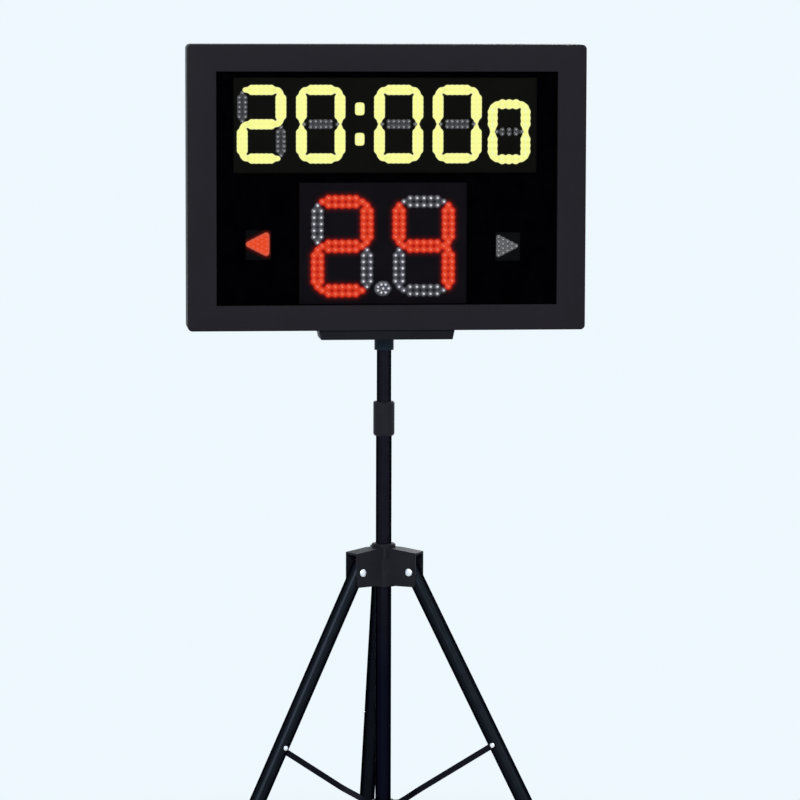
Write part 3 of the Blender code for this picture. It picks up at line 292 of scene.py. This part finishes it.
slotMaterials = {"frame_black": "housing", "sheet_black": "sheet", "tube_black": "tube", "face_black": "face",
                 "board_black": "timeBoard", "board_green": "greenBoard", "moulded_black": "moulded",
                 "rubber_black": "rubber", "rivet_bright": "zinc", "supply_case": "aluminium"}
print("stage: materials", len(mat))


def dressNode(node):  # a CAD node that stays gets the material of each slot it has
    for slot in node.material_slots:
        name = slot.material.name.split(".")[0] if slot.material else ""
        if name in slotMaterials:
            slot.material = mat[slotMaterials[name]]


for node in nodes.values():
    dressNode(node)
nodes["mounting_tray"].material_slots[0].material = mat["tray"]


def addPiece(bm, name, material, body, node=None):  # node: the CAD node that the piece stands for
    mesh = bpy.data.meshes.new(name)
    bm.to_mesh(mesh)
    bm.free()
    mesh.materials.append(mat[material])
    mesh.shade_smooth()
    mesh.set_sharp_from_angle(angle=radians(35))
    piece = bpy.data.objects.new(name, mesh)
    bpy.context.scene.collection.objects.link(piece)
    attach(piece, body)
    if node:
        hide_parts(node)
    return piece


def bevelEdges(bm, edges, width, segments):
    bmesh.ops.bevel(bm, geom=edges, offset=width, segments=segments, profile=0.5, affect="EDGES", material=-1)


def spun(profile, steps, closed=False, place=Matrix()):  # (radius, height) points turned about Z
    bm = bmesh.new()
    verts = [bm.verts.new((r, 0, z)) for r, z in profile]
    edges = [bm.edges.new(pair) for pair in zip(verts, verts[1:])]
    if closed:
        edges.append(bm.edges.new((verts[-1], verts[0])))
    bmesh.ops.spin(bm, geom=verts + edges, cent=(0, 0, 0), axis=(0, 0, 1), angle=2 * pi, steps=steps,
                   use_merge=True)
    bmesh.ops.remove_doubles(bm, verts=bm.verts, dist=1e-6)
    bmesh.ops.recalc_face_normals(bm, faces=bm.faces)
    bmesh.ops.transform(bm, matrix=place, verts=bm.verts)
    return bm


def gather(bm, other):  # put another bmesh into this one
    mesh = bpy.data.meshes.new("part")
    other.to_mesh(mesh)
    other.free()
    bm.from_mesh(mesh)
    bpy.data.meshes.remove(mesh)


def refined(node, body, material, width):  # a CAD node's shape with rounded edges
    bm = bmesh.new()
    bm.from_mesh(nodes[node].data)
    bmesh.ops.remove_doubles(bm, verts=bm.verts, dist=1e-5)
    bmesh.ops.dissolve_limit(bm, angle_limit=radians(1), verts=bm.verts, edges=bm.edges)
    piece = addPiece(bm, node + "_rounded", material, body, node)
    soft = piece.modifiers.new("rounded edges", "BEVEL")
    soft.width = width
    soft.segments = 2
    soft.limit_method = "ANGLE"
    soft.angle_limit = radians(30)
    soft.harden_normals = True


headPlace = Matrix.Translation((0, mastY, headZ))  # the head's own frame: mast axis, underside
housing = {"half": 0.3015, "high": 0.431, "front": -0.052, "rear": 0.012, "corner": 0.007, "rim": 0.0016,
           "windowHalf": 0.258, "windowLow": 0.0385, "windowHigh": 0.3905, "windowRim": 0.0009,
           "lip": 0.011, "wall": 0.002}


def makeHousing(h):
    bm = bmesh.new()
    size = (2 * h["half"], h["rear"] - h["front"], h["high"])
    centre = Matrix.Translation((0, (h["front"] + h["rear"]) / 2, h["high"] / 2))
    bmesh.ops.create_cube(bm, size=1.0, matrix=centre @ Matrix.Diagonal((*size, 1.0)))
    front = min(bm.faces, key=lambda f: f.calc_center_median().y)
    bmesh.ops.inset_region(bm, faces=[front], thickness=(h["high"] - h["windowHigh"]) / 2)
    for vert in front.verts:
        vert.co.x = h["windowHalf"] if vert.co.x > 0 else -h["windowHalf"]
        vert.co.z = h["windowHigh"] if vert.co.z > h["high"] / 2 else h["windowLow"]
    pushed = bmesh.ops.extrude_face_region(bm, geom=[front])["geom"]
    moved = [v for v in pushed if isinstance(v, bmesh.types.BMVert)]
    bmesh.ops.translate(bm, vec=(0, h["lip"], 0), verts=moved)
    behind = h["front"] + h["lip"] / 2
    spare = [f for f in bm.faces if abs(f.normal.y) > 0.9 and f.calc_center_median().y > behind]
    bmesh.ops.delete(bm, geom=spare, context="FACES")
    if front.is_valid:
        bmesh.ops.delete(bm, geom=[front], context="FACES")
    bevelEdges(bm, [e for e in bm.edges if abs(e.verts[0].co.y - e.verts[1].co.y) > 2 * h["lip"]],
               h["corner"], 10)

    def isOuter(vert):  # on the rim, not at the window
        clear = h["corner"]
        aside = abs(vert.co.x) > h["windowHalf"] + clear
        return aside or not h["windowLow"] - clear < vert.co.z < h["windowHigh"] + clear

    atFront = [e for e in bm.edges if all(v.co.y < h["front"] + 1e-5 for v in e.verts)]
    rim = [e for e in atFront if all(isOuter(v) for v in e.verts)
           and any(abs(f.normal.y) < 0.1 for f in e.link_faces)]
    sill = [e for e in atFront if not any(isOuter(v) for v in e.verts)]
    bevelEdges(bm, rim, h["rim"], 4)
    bevelEdges(bm, [e for e in sill if e.is_valid], h["windowRim"], 3)
    bmesh.ops.recalc_face_normals(bm, faces=bm.faces)
    outward = max(bm.faces, key=lambda f: f.calc_center_median().x)
    if outward.normal.x < 0:
        bmesh.ops.reverse_faces(bm, faces=bm.faces)
    bmesh.ops.transform(bm, matrix=headPlace, verts=bm.verts)
    piece = addPiece(bm, "housing_frame", "housing", "head", "housing")
    wall = piece.modifiers.new("sheet", "SOLIDIFY")
    wall.thickness = h["wall"]
    wall.offset = -1.0
    wall.use_even_offset = True


makeHousing(housing)
print("stage: housing")

boards = {"front": -0.0384, "thick": 0.0016, "overlap": 0.004, "cellMm": 1.4}
lampShape = {"flange": 0.0007, "height": 0.0045, "sides": 10}
segmentsOn = {"0": "1110111", "2": "1011101", "4": "0111010"}  # top, upper two, middle, lower two, bottom
# Places are from the mast's axis and the head's underside. For each orientation of a segment: lamps along
# it, their pitch, the end lamps' distance from its middle, and the distance between its two rows. The glow
# painted around a lamp that is on fades over glowMm, and the daylight painted around one that is off over
# paleMm.
clock = {"figures": "2000", "xs": (-0.1893, -0.1001, 0.0178, 0.1065), "z": 0.3111, "across": 0.0582,
         "up": 0.0515, "tall": (5, 0.0072, 0.0213, 0.0092), "flat": (5, 0.0076, 0.0252, 0.0084),
         "lampR": 0.0029, "glowMm": 3.2, "full": 1.77, "paleMm": 3.0, "fillX": 0.0202, "fillShare": 0.7,
         "board": ((-0.0022, 0.3096), (0.4595, 0.1436))}
tenth = {"x": 0.1855, "z": 0.2995, "across": 0.0500, "up": 0.0415, "tall": (3, 0.0092, 0.0165, 0.0068),
         "flat": (3, 0.0104, 0.0192, 0.0068), "glowMm": 3.5, "full": 1.53}
colon = {"x": -0.0412, "zs": (0.3341, 0.2884), "columns": (-1, 0, 1), "rows": (-1.5, -0.5, 0.5, 1.5),
         "pitchX": 0.0041, "pitchZ": 0.0043, "lampR": 0.0019, "glowMm": 2.3, "full": 1.69}
shot = {"figures": "24", "xs": (-0.0674, 0.0563), "z": 0.1271, "across": 0.0750, "up": 0.0672,
        "tall": (5, 0.0098, 0.0279, 0.0108), "flat": (5, 0.0104, 0.0304, 0.0108), "lampR": 0.0031,
        "glowMm": 3.3, "full": 1.0, "paleMm": 3.2, "board": ((-0.0057, 0.1317), (0.2546, 0.1838))}
dot = {"x": -0.0062, "z": 0.0630, "daylightPatchX": -0.0052, "daylightPatchMm": 5.0, "spotsMm": (
    (-7, 2.5), (-7, -2.9), (-2, 5.9), (4.4, 5.9), (-2, -6.1), (4.4, -6.1), (9, 0), (0.6, 0))}
arrow = {"left": (-0.1955, 0.1306), "right": (0.1836, 0.1266), "columns": 5, "pitchX": 0.0067,
         "pitchZ": 0.0068, "glowMm": 3.3, "full": 1.25, "paleMm": 2.7, "lampR": 0.0026,
         "leftBoard": ((-0.1945, 0.1295), (0.0384, 0.0460)),
         "rightBoard": ((0.1842, 0.1260), (0.0384, 0.0440))}


def digitLamps(figure, x, z, d):  # places of the lamps that are on and off in one figure
    on, off = [], []
    left, right, up = x - d["across"] / 2, x + d["across"] / 2, d["up"]
    middles = ((x, z + up, 1), (left, z + up / 2, 0), (right, z + up / 2, 0), (x, z, 1),
               (left, z - up / 2, 0), (right, z - up / 2, 0), (x, z - up, 1))
    for (cx, cz, flat), state in zip(middles, segmentsOn[figure]):
        count, pitch, single, stroke = d["flat"] if flat else d["tall"]
        spots = [((i - (count - 1) / 2) * pitch, row * stroke / 2) for i in range(count) for row in (-1, 1)]
        spots += [(-single, 0.0), (single, 0.0)]
        spots = spots if flat else [(q, p) for p, q in spots]
        (on if state == "1" else off).extend((cx + p, cz + q) for p, q in spots)
    return on, off


def rowLamps(d):  # all the full-size figures of one board
    both = [digitLamps(figure, x, d["z"], d) for figure, x in zip(d["figures"], d["xs"])]
    return [spot for on, off in both for spot in on], [spot for on, off in both for spot in off]


def paintedGlowCorners(figure, x, d):  # spots of extra painted glow, where the glow of a flat segment's end lamp runs into that of its rows
    levels = [step for step, i in ((1, 0), (0, 3), (-1, 6)) if segmentsOn[figure][i] == "1"]
    return [(x + end * d["fillX"], d["z"] + step * d["up"]) for step in levels for end in (-1, 1)]


def arrowLamps(centre, way):  # columns of five, four, three, two and one lamp
    count = arrow["columns"]
    return [(centre[0] + way * (column - count // 2) * arrow["pitchX"],
             centre[1] + (row - (count - 1 - column) / 2) * arrow["pitchZ"])
            for column in range(count) for row in range(count - column)]


def lampSet(name, spots, radius, material):  # domed lamps on a board, one mesh
    height, flange = lampShape["height"], lampShape["flange"]
    profile = [(radius, 0.0), (radius, flange), (radius * 0.88, flange * 1.2), (radius * 0.88, height * 0.55),
               (radius * 0.70, height * 0.82), (radius * 0.38, height * 0.96), (0.0, height)]
    one = spun(profile, lampShape["sides"])
    tips = one.verts.layers.float.new("lampTip")
    for vert in one.verts:
        vert[tips] = 1.0 - vert.co.to_2d().length / radius
    bmesh.ops.transform(one, matrix=Matrix.Rotation(pi / 2, 4, "X"), verts=one.verts)
    template = bpy.data.meshes.new("lampShape")
    one.to_mesh(template)
    one.free()
    bm = bmesh.new()
    for x, z in spots:
        before = len(bm.verts)
        bm.from_mesh(template)
        bm.verts.ensure_lookup_table()
        bmesh.ops.translate(bm, vec=(x, boards["front"], z), verts=bm.verts[before:])
    bpy.data.meshes.remove(template)
    bmesh.ops.transform(bm, matrix=headPlace, verts=bm.verts)
    addPiece(bm, name, material, "head")


def paintedLightAt(spots, groups):  # how much painted light the lamps of each group give each point, from 0 to 1
    total = np.zeros(len(spots))
    for lamps, spread, full in groups:
        for x, z in lamps:
            distance = (spots[:, 0] - x) ** 2 + (spots[:, 1] - z) ** 2
            total += np.exp(-distance / (2 * (spread / 1000) ** 2)) / full
    return np.where(spots[:, 2] < boards["front"] + 1e-4, np.minimum(total, 1.0), 0.0)


def makeBoard(node, layout, material, lit, dark):  # board whose fine front holds the two kinds of painted light
    centre, size = layout
    width, high = size[0] + 2 * boards["overlap"], size[1] + 2 * boards["overlap"]
    bm = bmesh.new()
    across, up = round(width * 1000 / boards["cellMm"]), round(high * 1000 / boards["cellMm"])
    stand = Matrix.Translation((centre[0], boards["front"], centre[1])) @ Matrix.Rotation(pi / 2, 4, "X")
    bmesh.ops.create_grid(bm, x_segments=across, y_segments=up, size=0.5,
                          matrix=stand @ Matrix.Diagonal((width, high, 1.0, 1.0)))
    edge = [e for e in bm.edges if e.is_boundary]
    pushed = bmesh.ops.extrude_edge_only(bm, edges=edge)["geom"]
    moved = [v for v in pushed if isinstance(v, bmesh.types.BMVert)]
    bmesh.ops.translate(bm, vec=(0, boards["thick"], 0), verts=moved)
    bmesh.ops.edgeloop_fill(bm, edges=[e for e in pushed if isinstance(e, bmesh.types.BMEdge)])
    bmesh.ops.recalc_face_normals(bm, faces=bm.faces)
    bm.verts.ensure_lookup_table()
    spots = np.array([(v.co.x, v.co.z, v.co.y) for v in bm.verts])
    for name, groups in (("paintedLampGlow", lit), ("paintedDaylight", dark)):
        layer = bm.verts.layers.float.new(name)
        for vert, value in zip(bm.verts, paintedLightAt(spots, groups)):
            vert[layer] = float(value)
    bmesh.ops.transform(bm, matrix=headPlace, verts=bm.verts)
    addPiece(bm, node + "_painted_light", material, "head", node)


timeOn, timeOff = rowLamps(clock)
timePaintedGlowCorners = [spot for figure, x in zip(clock["figures"], clock["xs"]) for spot in paintedGlowCorners(figure, x, clock)]
tenthOn, tenthOff = digitLamps("0", tenth["x"], tenth["z"], tenth)
colonOn = [(colon["x"] + i * colon["pitchX"], z + j * colon["pitchZ"])
           for z in colon["zs"] for i in colon["columns"] for j in colon["rows"]]
makeBoard("time_board", clock["board"], "timeBoard",
          [(timeOn, clock["glowMm"], clock["full"]), (tenthOn, tenth["glowMm"], tenth["full"]),
           (colonOn, colon["glowMm"], colon["full"]),
           (timePaintedGlowCorners, clock["glowMm"], clock["full"] / clock["fillShare"])],
          [(timeOff + tenthOff, clock["paleMm"], 1.0)])
lampSet("time_lamps_on", timeOn + tenthOn, clock["lampR"], "yellowLamp")
lampSet("colon_lamps_on", colonOn, colon["lampR"], "yellowLamp")
lampSet("time_lamps_off", timeOff + tenthOff, clock["lampR"], "clearLampTime")

shotOn, shotOff = rowLamps(shot)
shotOff += [(dot["x"] + x / 1000, dot["z"] + z / 1000) for x, z in dot["spotsMm"]]
# the lamps that are off, and a broad patch round the dot's lamps, get painted daylight
makeBoard("shot_clock_board", shot["board"], "shotBoard", [(shotOn, shot["glowMm"], shot["full"])],
          [(shotOff, shot["paleMm"], 1.0), ([(dot["daylightPatchX"], dot["z"])], dot["daylightPatchMm"], 1.0)])
lampSet("shot_lamps_on", shotOn, shot["lampR"], "redLamp")
lampSet("shot_lamps_off", shotOff, shot["lampR"], "clearLampShot")

arrowOn, arrowOff = arrowLamps(arrow["left"], -1), arrowLamps(arrow["right"], 1)
makeBoard("arrow_board_left", arrow["leftBoard"], "leftBoard",
          [(arrowOn, arrow["glowMm"], arrow["full"])], [])
makeBoard("arrow_board_right", arrow["rightBoard"], "rightBoard",
          [], [(arrowOff, arrow["paleMm"], 1.0)])
lampSet("arrow_lamps_on", arrowOn, arrow["lampR"], "arrowLamp")
lampSet("arrow_lamps_off", arrowOff, arrow["lampR"], "clearLampArrow")
allLamps = timeOn, timeOff, tenthOn, tenthOff, colonOn, shotOn, shotOff, arrowOn, arrowOff
print("stage: boards,", sum(map(len, allLamps)), "lamps")

legShape = {"angle": 28.7, "pinRadius": 0.049, "length": 0.650, "r": 0.012, "wall": 0.0011, "top": 0.014,
            "rivetDown": 0.292, "sole": 0.009}
foot = {"r": 0.0143, "high": 0.042, "clear": 0.0003, "below": 0.002, "grooves": 5, "grooveFrom": 0.007,
        "groovePitch": 0.0035, "grooveDeep": 0.0011, "land": 0.0001}


def tube(outer, wall, low, high, place=Matrix(), sides=56):  # tube with its two ends eased
    ease = 0.0003
    profile = [(outer - wall, low), (outer - ease, low), (outer, low + ease), (outer, high - ease),
               (outer - ease, high), (outer - wall, high)]
    return spun(profile, sides, closed=True, place=place)


def legPlace(side):  # the hub pin, with Z up along the leg
    turn, reach = radians(legAzimuths[side]), legShape["pinRadius"]
    at = Matrix.Translation((reach * cos(turn), mastY + reach * sin(turn), pinZ))
    return at @ Matrix.Rotation(turn, 4, "Z") @ Matrix.Rotation(-radians(legShape["angle"]), 4, "Y")


mastTubes = (("outer_mast_tube", "column_lacquer", "column", "column", 0.0006),
             ("inner_mast_tube", "mast_lacquer", "tube", "inner_mast", 0.0008))
for node, name, material, body, wall in mastTubes:
    low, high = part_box(node)
    bm = tube((high[0] - low[0]) / 2, wall, low[2], high[2], Matrix.Translation((0, mastY, 0)))
    addPiece(bm, name, material, body, node)


def makeLeg(side, d, f):
    lean, place, body = radians(d["angle"]), legPlace(side), "leg_" + side
    end = -(d["length"] - d["sole"] / cos(lean) - d["r"] * sin(lean) / cos(lean))
    bm = tube(d["r"], d["wall"], end, d["top"], place, 48)
    addPiece(bm, "leg_lacquer_" + side, "leg", body, "leg_tube_" + side)
    floor, top = end - f["clear"], end + f["high"]
    bottom = -d["length"] - f["r"] * sin(lean) / cos(lean) - f["below"]
    outer, bore = f["r"], d["r"] + f["clear"]
    profile = [(0, floor), (bore, floor), (bore, top), (outer - 0.0014, top), (outer - 0.0006, top - 0.0004),
               (outer - 0.0002, top - 0.0014), (outer - 0.0002, top - 0.005)]  # the eased upper edge
    for i in range(f["grooves"]):
        z = top - f["grooveFrom"] - i * f["groovePitch"]
        land, floorR = outer - f["land"], outer - f["land"] - f["grooveDeep"]
        profile += [(land, z + 0.0008), (floorR, z + 0.0003), (floorR, z - 0.0003), (land, z - 0.0008)]
    profile += [(outer, bottom), (0, bottom)]
    bm = spun(profile, 48, place=place)
    everything = list(bm.verts) + list(bm.edges) + list(bm.faces)
    sole = bmesh.ops.bisect_plane(bm, geom=everything, plane_co=(0, 0, 0), plane_no=(0, 0, 1),
                                  clear_inner=True)["geom_cut"]
    bmesh.ops.edgeloop_fill(bm, edges=[e for e in sole if isinstance(e, bmesh.types.BMEdge)])
    bmesh.ops.recalc_face_normals(bm, faces=bm.faces)
    addPiece(bm, "foot_ribbed_" + side, "rubber", body, "foot_" + side)


for side in legAzimuths:
    makeLeg(side, legShape, foot)
    refined("brace_" + side, "brace_" + side, "tube", 0.0004)
    refined("leg_plug_" + side, "leg_" + side, "moulded", 0.0003)
refined("hub", "hub", "moulded", 0.0008)
refined("lower_collar", "column", "moulded", 0.0006)
refined("mast_clamp", "column", "moulded", 0.0006)
refined("mounting_tray", "head", "tray", 0.0008)
refined("mast_socket", "head", "socket", 0.0004)
for knob in ("hub_knob", "mast_clamp_knob", "socket_knob"):
    refined(knob, knob, "moulded", 0.0006)
print("stage: stand")

pins = {"gap": 0.0003, "hub": (0.003, 0.0061, 0.0025, 0.0152), "collar": (0.0019, 0.0034, 0.0015, 0.0050),
        "rivet": (0.0019, 0.0038, 0.0020), "collarRadius": 0.024, "collarDown": 0.363, "braceSide": -0.01385,
        "braceThick": 0.0025}  # shank and head radius, head's rise, and half the width that it holds
acrossY = Matrix.Rotation(-pi / 2, 4, "X")  # turns Z to the rear


def domedPin(node, body, place, shape, low, high, ends=(True, True)):  # low, high: where its heads bear
    shank, head, rise = shape
    dome = [(head * cos(a), rise * (0.2 + 0.8 * sin(a))) for a in (0.0, 0.3, 0.6, 0.9, 1.2)] + [(0.0, rise)]
    base, top = low - pins["gap"], high + pins["gap"]
    lower = [(r, base - z) for r, z in reversed(dome)] + [(head, base), (shank, base)]
    upper = [(shank, top), (head, top)] + [(r, top + z) for r, z in dome]
    profile = lower if ends[0] else [(0.0, low), (shank, low)]
    profile = profile + (upper if ends[1] else [(shank, high), (0.0, high)])
    addPiece(spun(profile, 32, place=place @ acrossY), node + "_domed", "zinc", body, node)


for side, azimuth in legAzimuths.items():
    turn = Matrix.Rotation(radians(azimuth), 4, "Z")
    ray = Vector((cos(radians(azimuth)), sin(radians(azimuth)), 0.0))
    *shape, half = pins["hub"]
    at = Matrix.Translation(Vector((0, mastY, pinZ)) + ray * legShape["pinRadius"])
    domedPin("hub_pin_" + side, "hub", at @ turn, shape, -half, half)
    *shape, half = pins["collar"]
    at = Matrix.Translation(Vector((0, mastY, pinZ - pins["collarDown"])) + ray * pins["collarRadius"])
    domedPin("collar_pin_" + side, "column", at @ turn, shape, -half, half)
    at = legPlace(side) @ Matrix.Translation((0, 0, -legShape["rivetDown"]))
    near, far = pins["gap"] - legShape["r"], legShape["r"]
    domedPin("leg_rivet_" + side, "leg_" + side, at, pins["rivet"], near, far, (False, True))
    middle, half = pins["braceSide"], pins["braceThick"] / 2
    domedPin("brace_rivet_" + side, "brace_" + side, at, pins["rivet"], middle - half, middle + half,
             (True, False))

screws = {"radius": 0.0030, "coverY": 0.0117, "upstandY": 0.0148,
          "cover": [(x, z) for x in (-0.287, 0.287) for z in (0.016, 0.2155, 0.415)] +
                   [(x, z) for x in (-0.15, 0.15) for z in (0.016, 0.415)] + [(0.0, 0.415)],
          "upstand": [(-0.036, 0.032), (0.036, 0.032)]}


def makeScrews(name, spots, y):  # button heads with a socket, on the rear of the head
    bm = bmesh.new()
    shape = [(0.0, 0.2), (0.42, 0.2), (0.42, 0.50), (0.62, 0.52), (0.84, 0.38), (0.97, 0.16), (1.0, 0.0)]
    profile = [(r * screws["radius"], rise * screws["radius"]) for r, rise in shape]
    for x, z in spots:
        gather(bm, spun(profile, 24, place=headPlace @ Matrix.Translation((x, y, z)) @ acrossY))
    addPiece(bm, name, "nickel", "head")


makeScrews("cover_screws", screws["cover"], screws["coverY"])
makeScrews("upstand_screws", screws["upstand"], screws["upstandY"])

caps = {"hub_knob": 0.0046, "mast_clamp_knob": 0.0046, "socket_knob": 0.0032,  # radii
        "hubReach": 0.042, "hubTurn": 30}


def knobCap(node):  # plated cap over the end of the knob's stud
    low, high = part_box(node)
    radius, middleZ = caps[node], (low[2] + high[2]) / 2
    if node == "hub_knob":
        turn, reach = radians(caps["hubTurn"]), caps["hubReach"]
        at = Matrix.Translation((reach * cos(turn), mastY + reach * sin(turn), middleZ))
        at = at @ Matrix.Rotation(turn, 4, "Z") @ Matrix.Rotation(pi / 2, 4, "Y")
    else:
        at = Matrix.Translation(((low[0] + high[0]) / 2, high[1], middleZ)) @ acrossY
    profile = [(0.0, -0.0004), (radius, -0.0004), (radius, 0.0004), (radius * 0.88, 0.0009),
               (radius * 0.5, 0.0013), (0.0, 0.0014)]
    addPiece(spun(profile, 32, place=at), node + "_cap", "nickel", node)


for knob in ("hub_knob", "mast_clamp_knob", "socket_knob"):
    knobCap(knob)
print("stage: pins, screws and caps")

studio = {"near": "#F6F9FB", "far": "#EEF8FE", "clearM": 0.55, "fadeM": 1.15, "sky": "#F6FAFF",
          "skyLight": 0.24, "floorRadius": 40.0, "floorDown": 0.0005}


def seenDirectly(tree):  # 1 for rays that show a surface: from the camera, by reflection or through glass
    path = addNode(tree, "ShaderNodeLightPath").outputs
    inputs = {0: path["Is Camera Ray"], 1: path["Is Glossy Ray"]}
    first = addNode(tree, "ShaderNodeMath", inputs, operation="MAXIMUM").outputs[0]
    inputs = {0: first, 1: path["Is Transmission Ray"]}
    return addNode(tree, "ShaderNodeMath", inputs, operation="MAXIMUM").outputs[0]


def paleFloor(s):  # matt pale floor that keeps the shadow and fades into the backdrop's colour
    material, tree, shader, place = newMaterial("paleStudioFloor", Roughness=0.9, Specular_IOR_Level=0.1,
                                                Base_Color=s["near"])
    reach = addNode(tree, "ShaderNodeVectorMath", {0: place}, operation="LENGTH").outputs["Value"]
    share = ranged(tree, reach, 0.0, 1.0, s["clearM"], s["fadeM"], interpolation_type="SMOOTHSTEP")
    inputs = {0: seenDirectly(tree), 1: share}
    both = addNode(tree, "ShaderNodeMath", inputs, operation="MULTIPLY").outputs[0]
    far = addNode(tree, "ShaderNodeEmission", {"Color": hexColour(s["far"]), "Strength": 1.0})
    mix = addNode(tree, "ShaderNodeMixShader", {0: both, 1: shader.outputs[0], 2: far.outputs[0]})
    tree.links.new(mix.outputs[0], tree.nodes["Material Output"].inputs["Surface"])
    return material


def makeFloor(s):
    bm = bmesh.new()
    bmesh.ops.create_circle(bm, cap_ends=True, radius=s["floorRadius"], segments=96)
    mesh = bpy.data.meshes.new("floor")
    bm.to_mesh(mesh)
    bm.free()
    mesh.materials.append(paleFloor(s))
    floor = bpy.data.objects.new("floor", mesh)
    floor.location = (0, 0, -s["floorDown"])
    bpy.context.scene.collection.objects.link(floor)


def makeSky(s):  # even light from all sides, and the backdrop's colour where it is seen
    world = bpy.data.worlds.new("studio")
    bpy.context.scene.world = world
    world.use_nodes = True
    tree = world.node_tree
    dim = tree.nodes["Background"]
    dim.inputs["Color"].default_value = hexColour(s["sky"])
    dim.inputs["Strength"].default_value = s["skyLight"]
    seen = addNode(tree, "ShaderNodeBackground", {"Color": hexColour(s["far"]), "Strength": 1.0})
    inputs = {0: seenDirectly(tree), 1: dim.outputs[0], 2: seen.outputs[0]}
    mix = addNode(tree, "ShaderNodeMixShader", inputs)
    tree.links.new(mix.outputs[0], tree.nodes["World Output"].inputs["Surface"])


makeFloor(studio)
makeSky(studio)

softboxes = {"keySoftbox": ((-1.3, -4.0, 2.9), (0, -0.1, 1.0), 1.6, 126),  # place, target, metres, watts
             "fillSoftbox": ((2.4, -3.4, 2.2), (0, -0.1, 0.9), 2.0, 36),
             "topSoftbox": ((0.3, 1.2, 3.9), (0, -0.1, 0.7), 2.6, 44),
             "rearSoftbox": ((1.8, 4.2, 2.2), (0, -0.1, 0.9), 2.0, 90)}
for name, (at, target, size, power) in softboxes.items():
    light = bpy.data.lights.new(name, "AREA")
    light.shape = "SQUARE"
    light.size = size
    light.energy = power
    box = bpy.data.objects.new(name, light)
    box.location = at
    box.rotation_euler = (Vector(target) - Vector(at)).to_track_quat("-Z", "Y").to_euler()
    bpy.context.scene.collection.objects.link(box)

view = {"at": (-0.5904, mastY - 6.2601, pinZ + 0.9107), "pan": -5.6112, "pitch": 90 - 5.9013, "roll": 0.1561,
        "lens": 186.312}
camera = bpy.data.objects.new("camera", bpy.data.cameras.new("camera"))
pan, pitch, roll = [Matrix.Rotation(radians(view[key]), 4, axis)
                    for key, axis in (("pan", "Z"), ("pitch", "X"), ("roll", "Z"))]
camera.matrix_world = Matrix.Translation(view["at"]) @ pan @ pitch @ roll
camera.data.sensor_width = 36
camera.data.sensor_fit = "HORIZONTAL"
camera.data.lens = view["lens"]
camera.data.clip_end = 100
bpy.context.scene.collection.objects.link(camera)
bpy.context.scene.camera = camera
bpy.context.scene.view_settings.view_transform = "Standard"
print("stage: studio and camera")

bpy.context.view_layer.update()
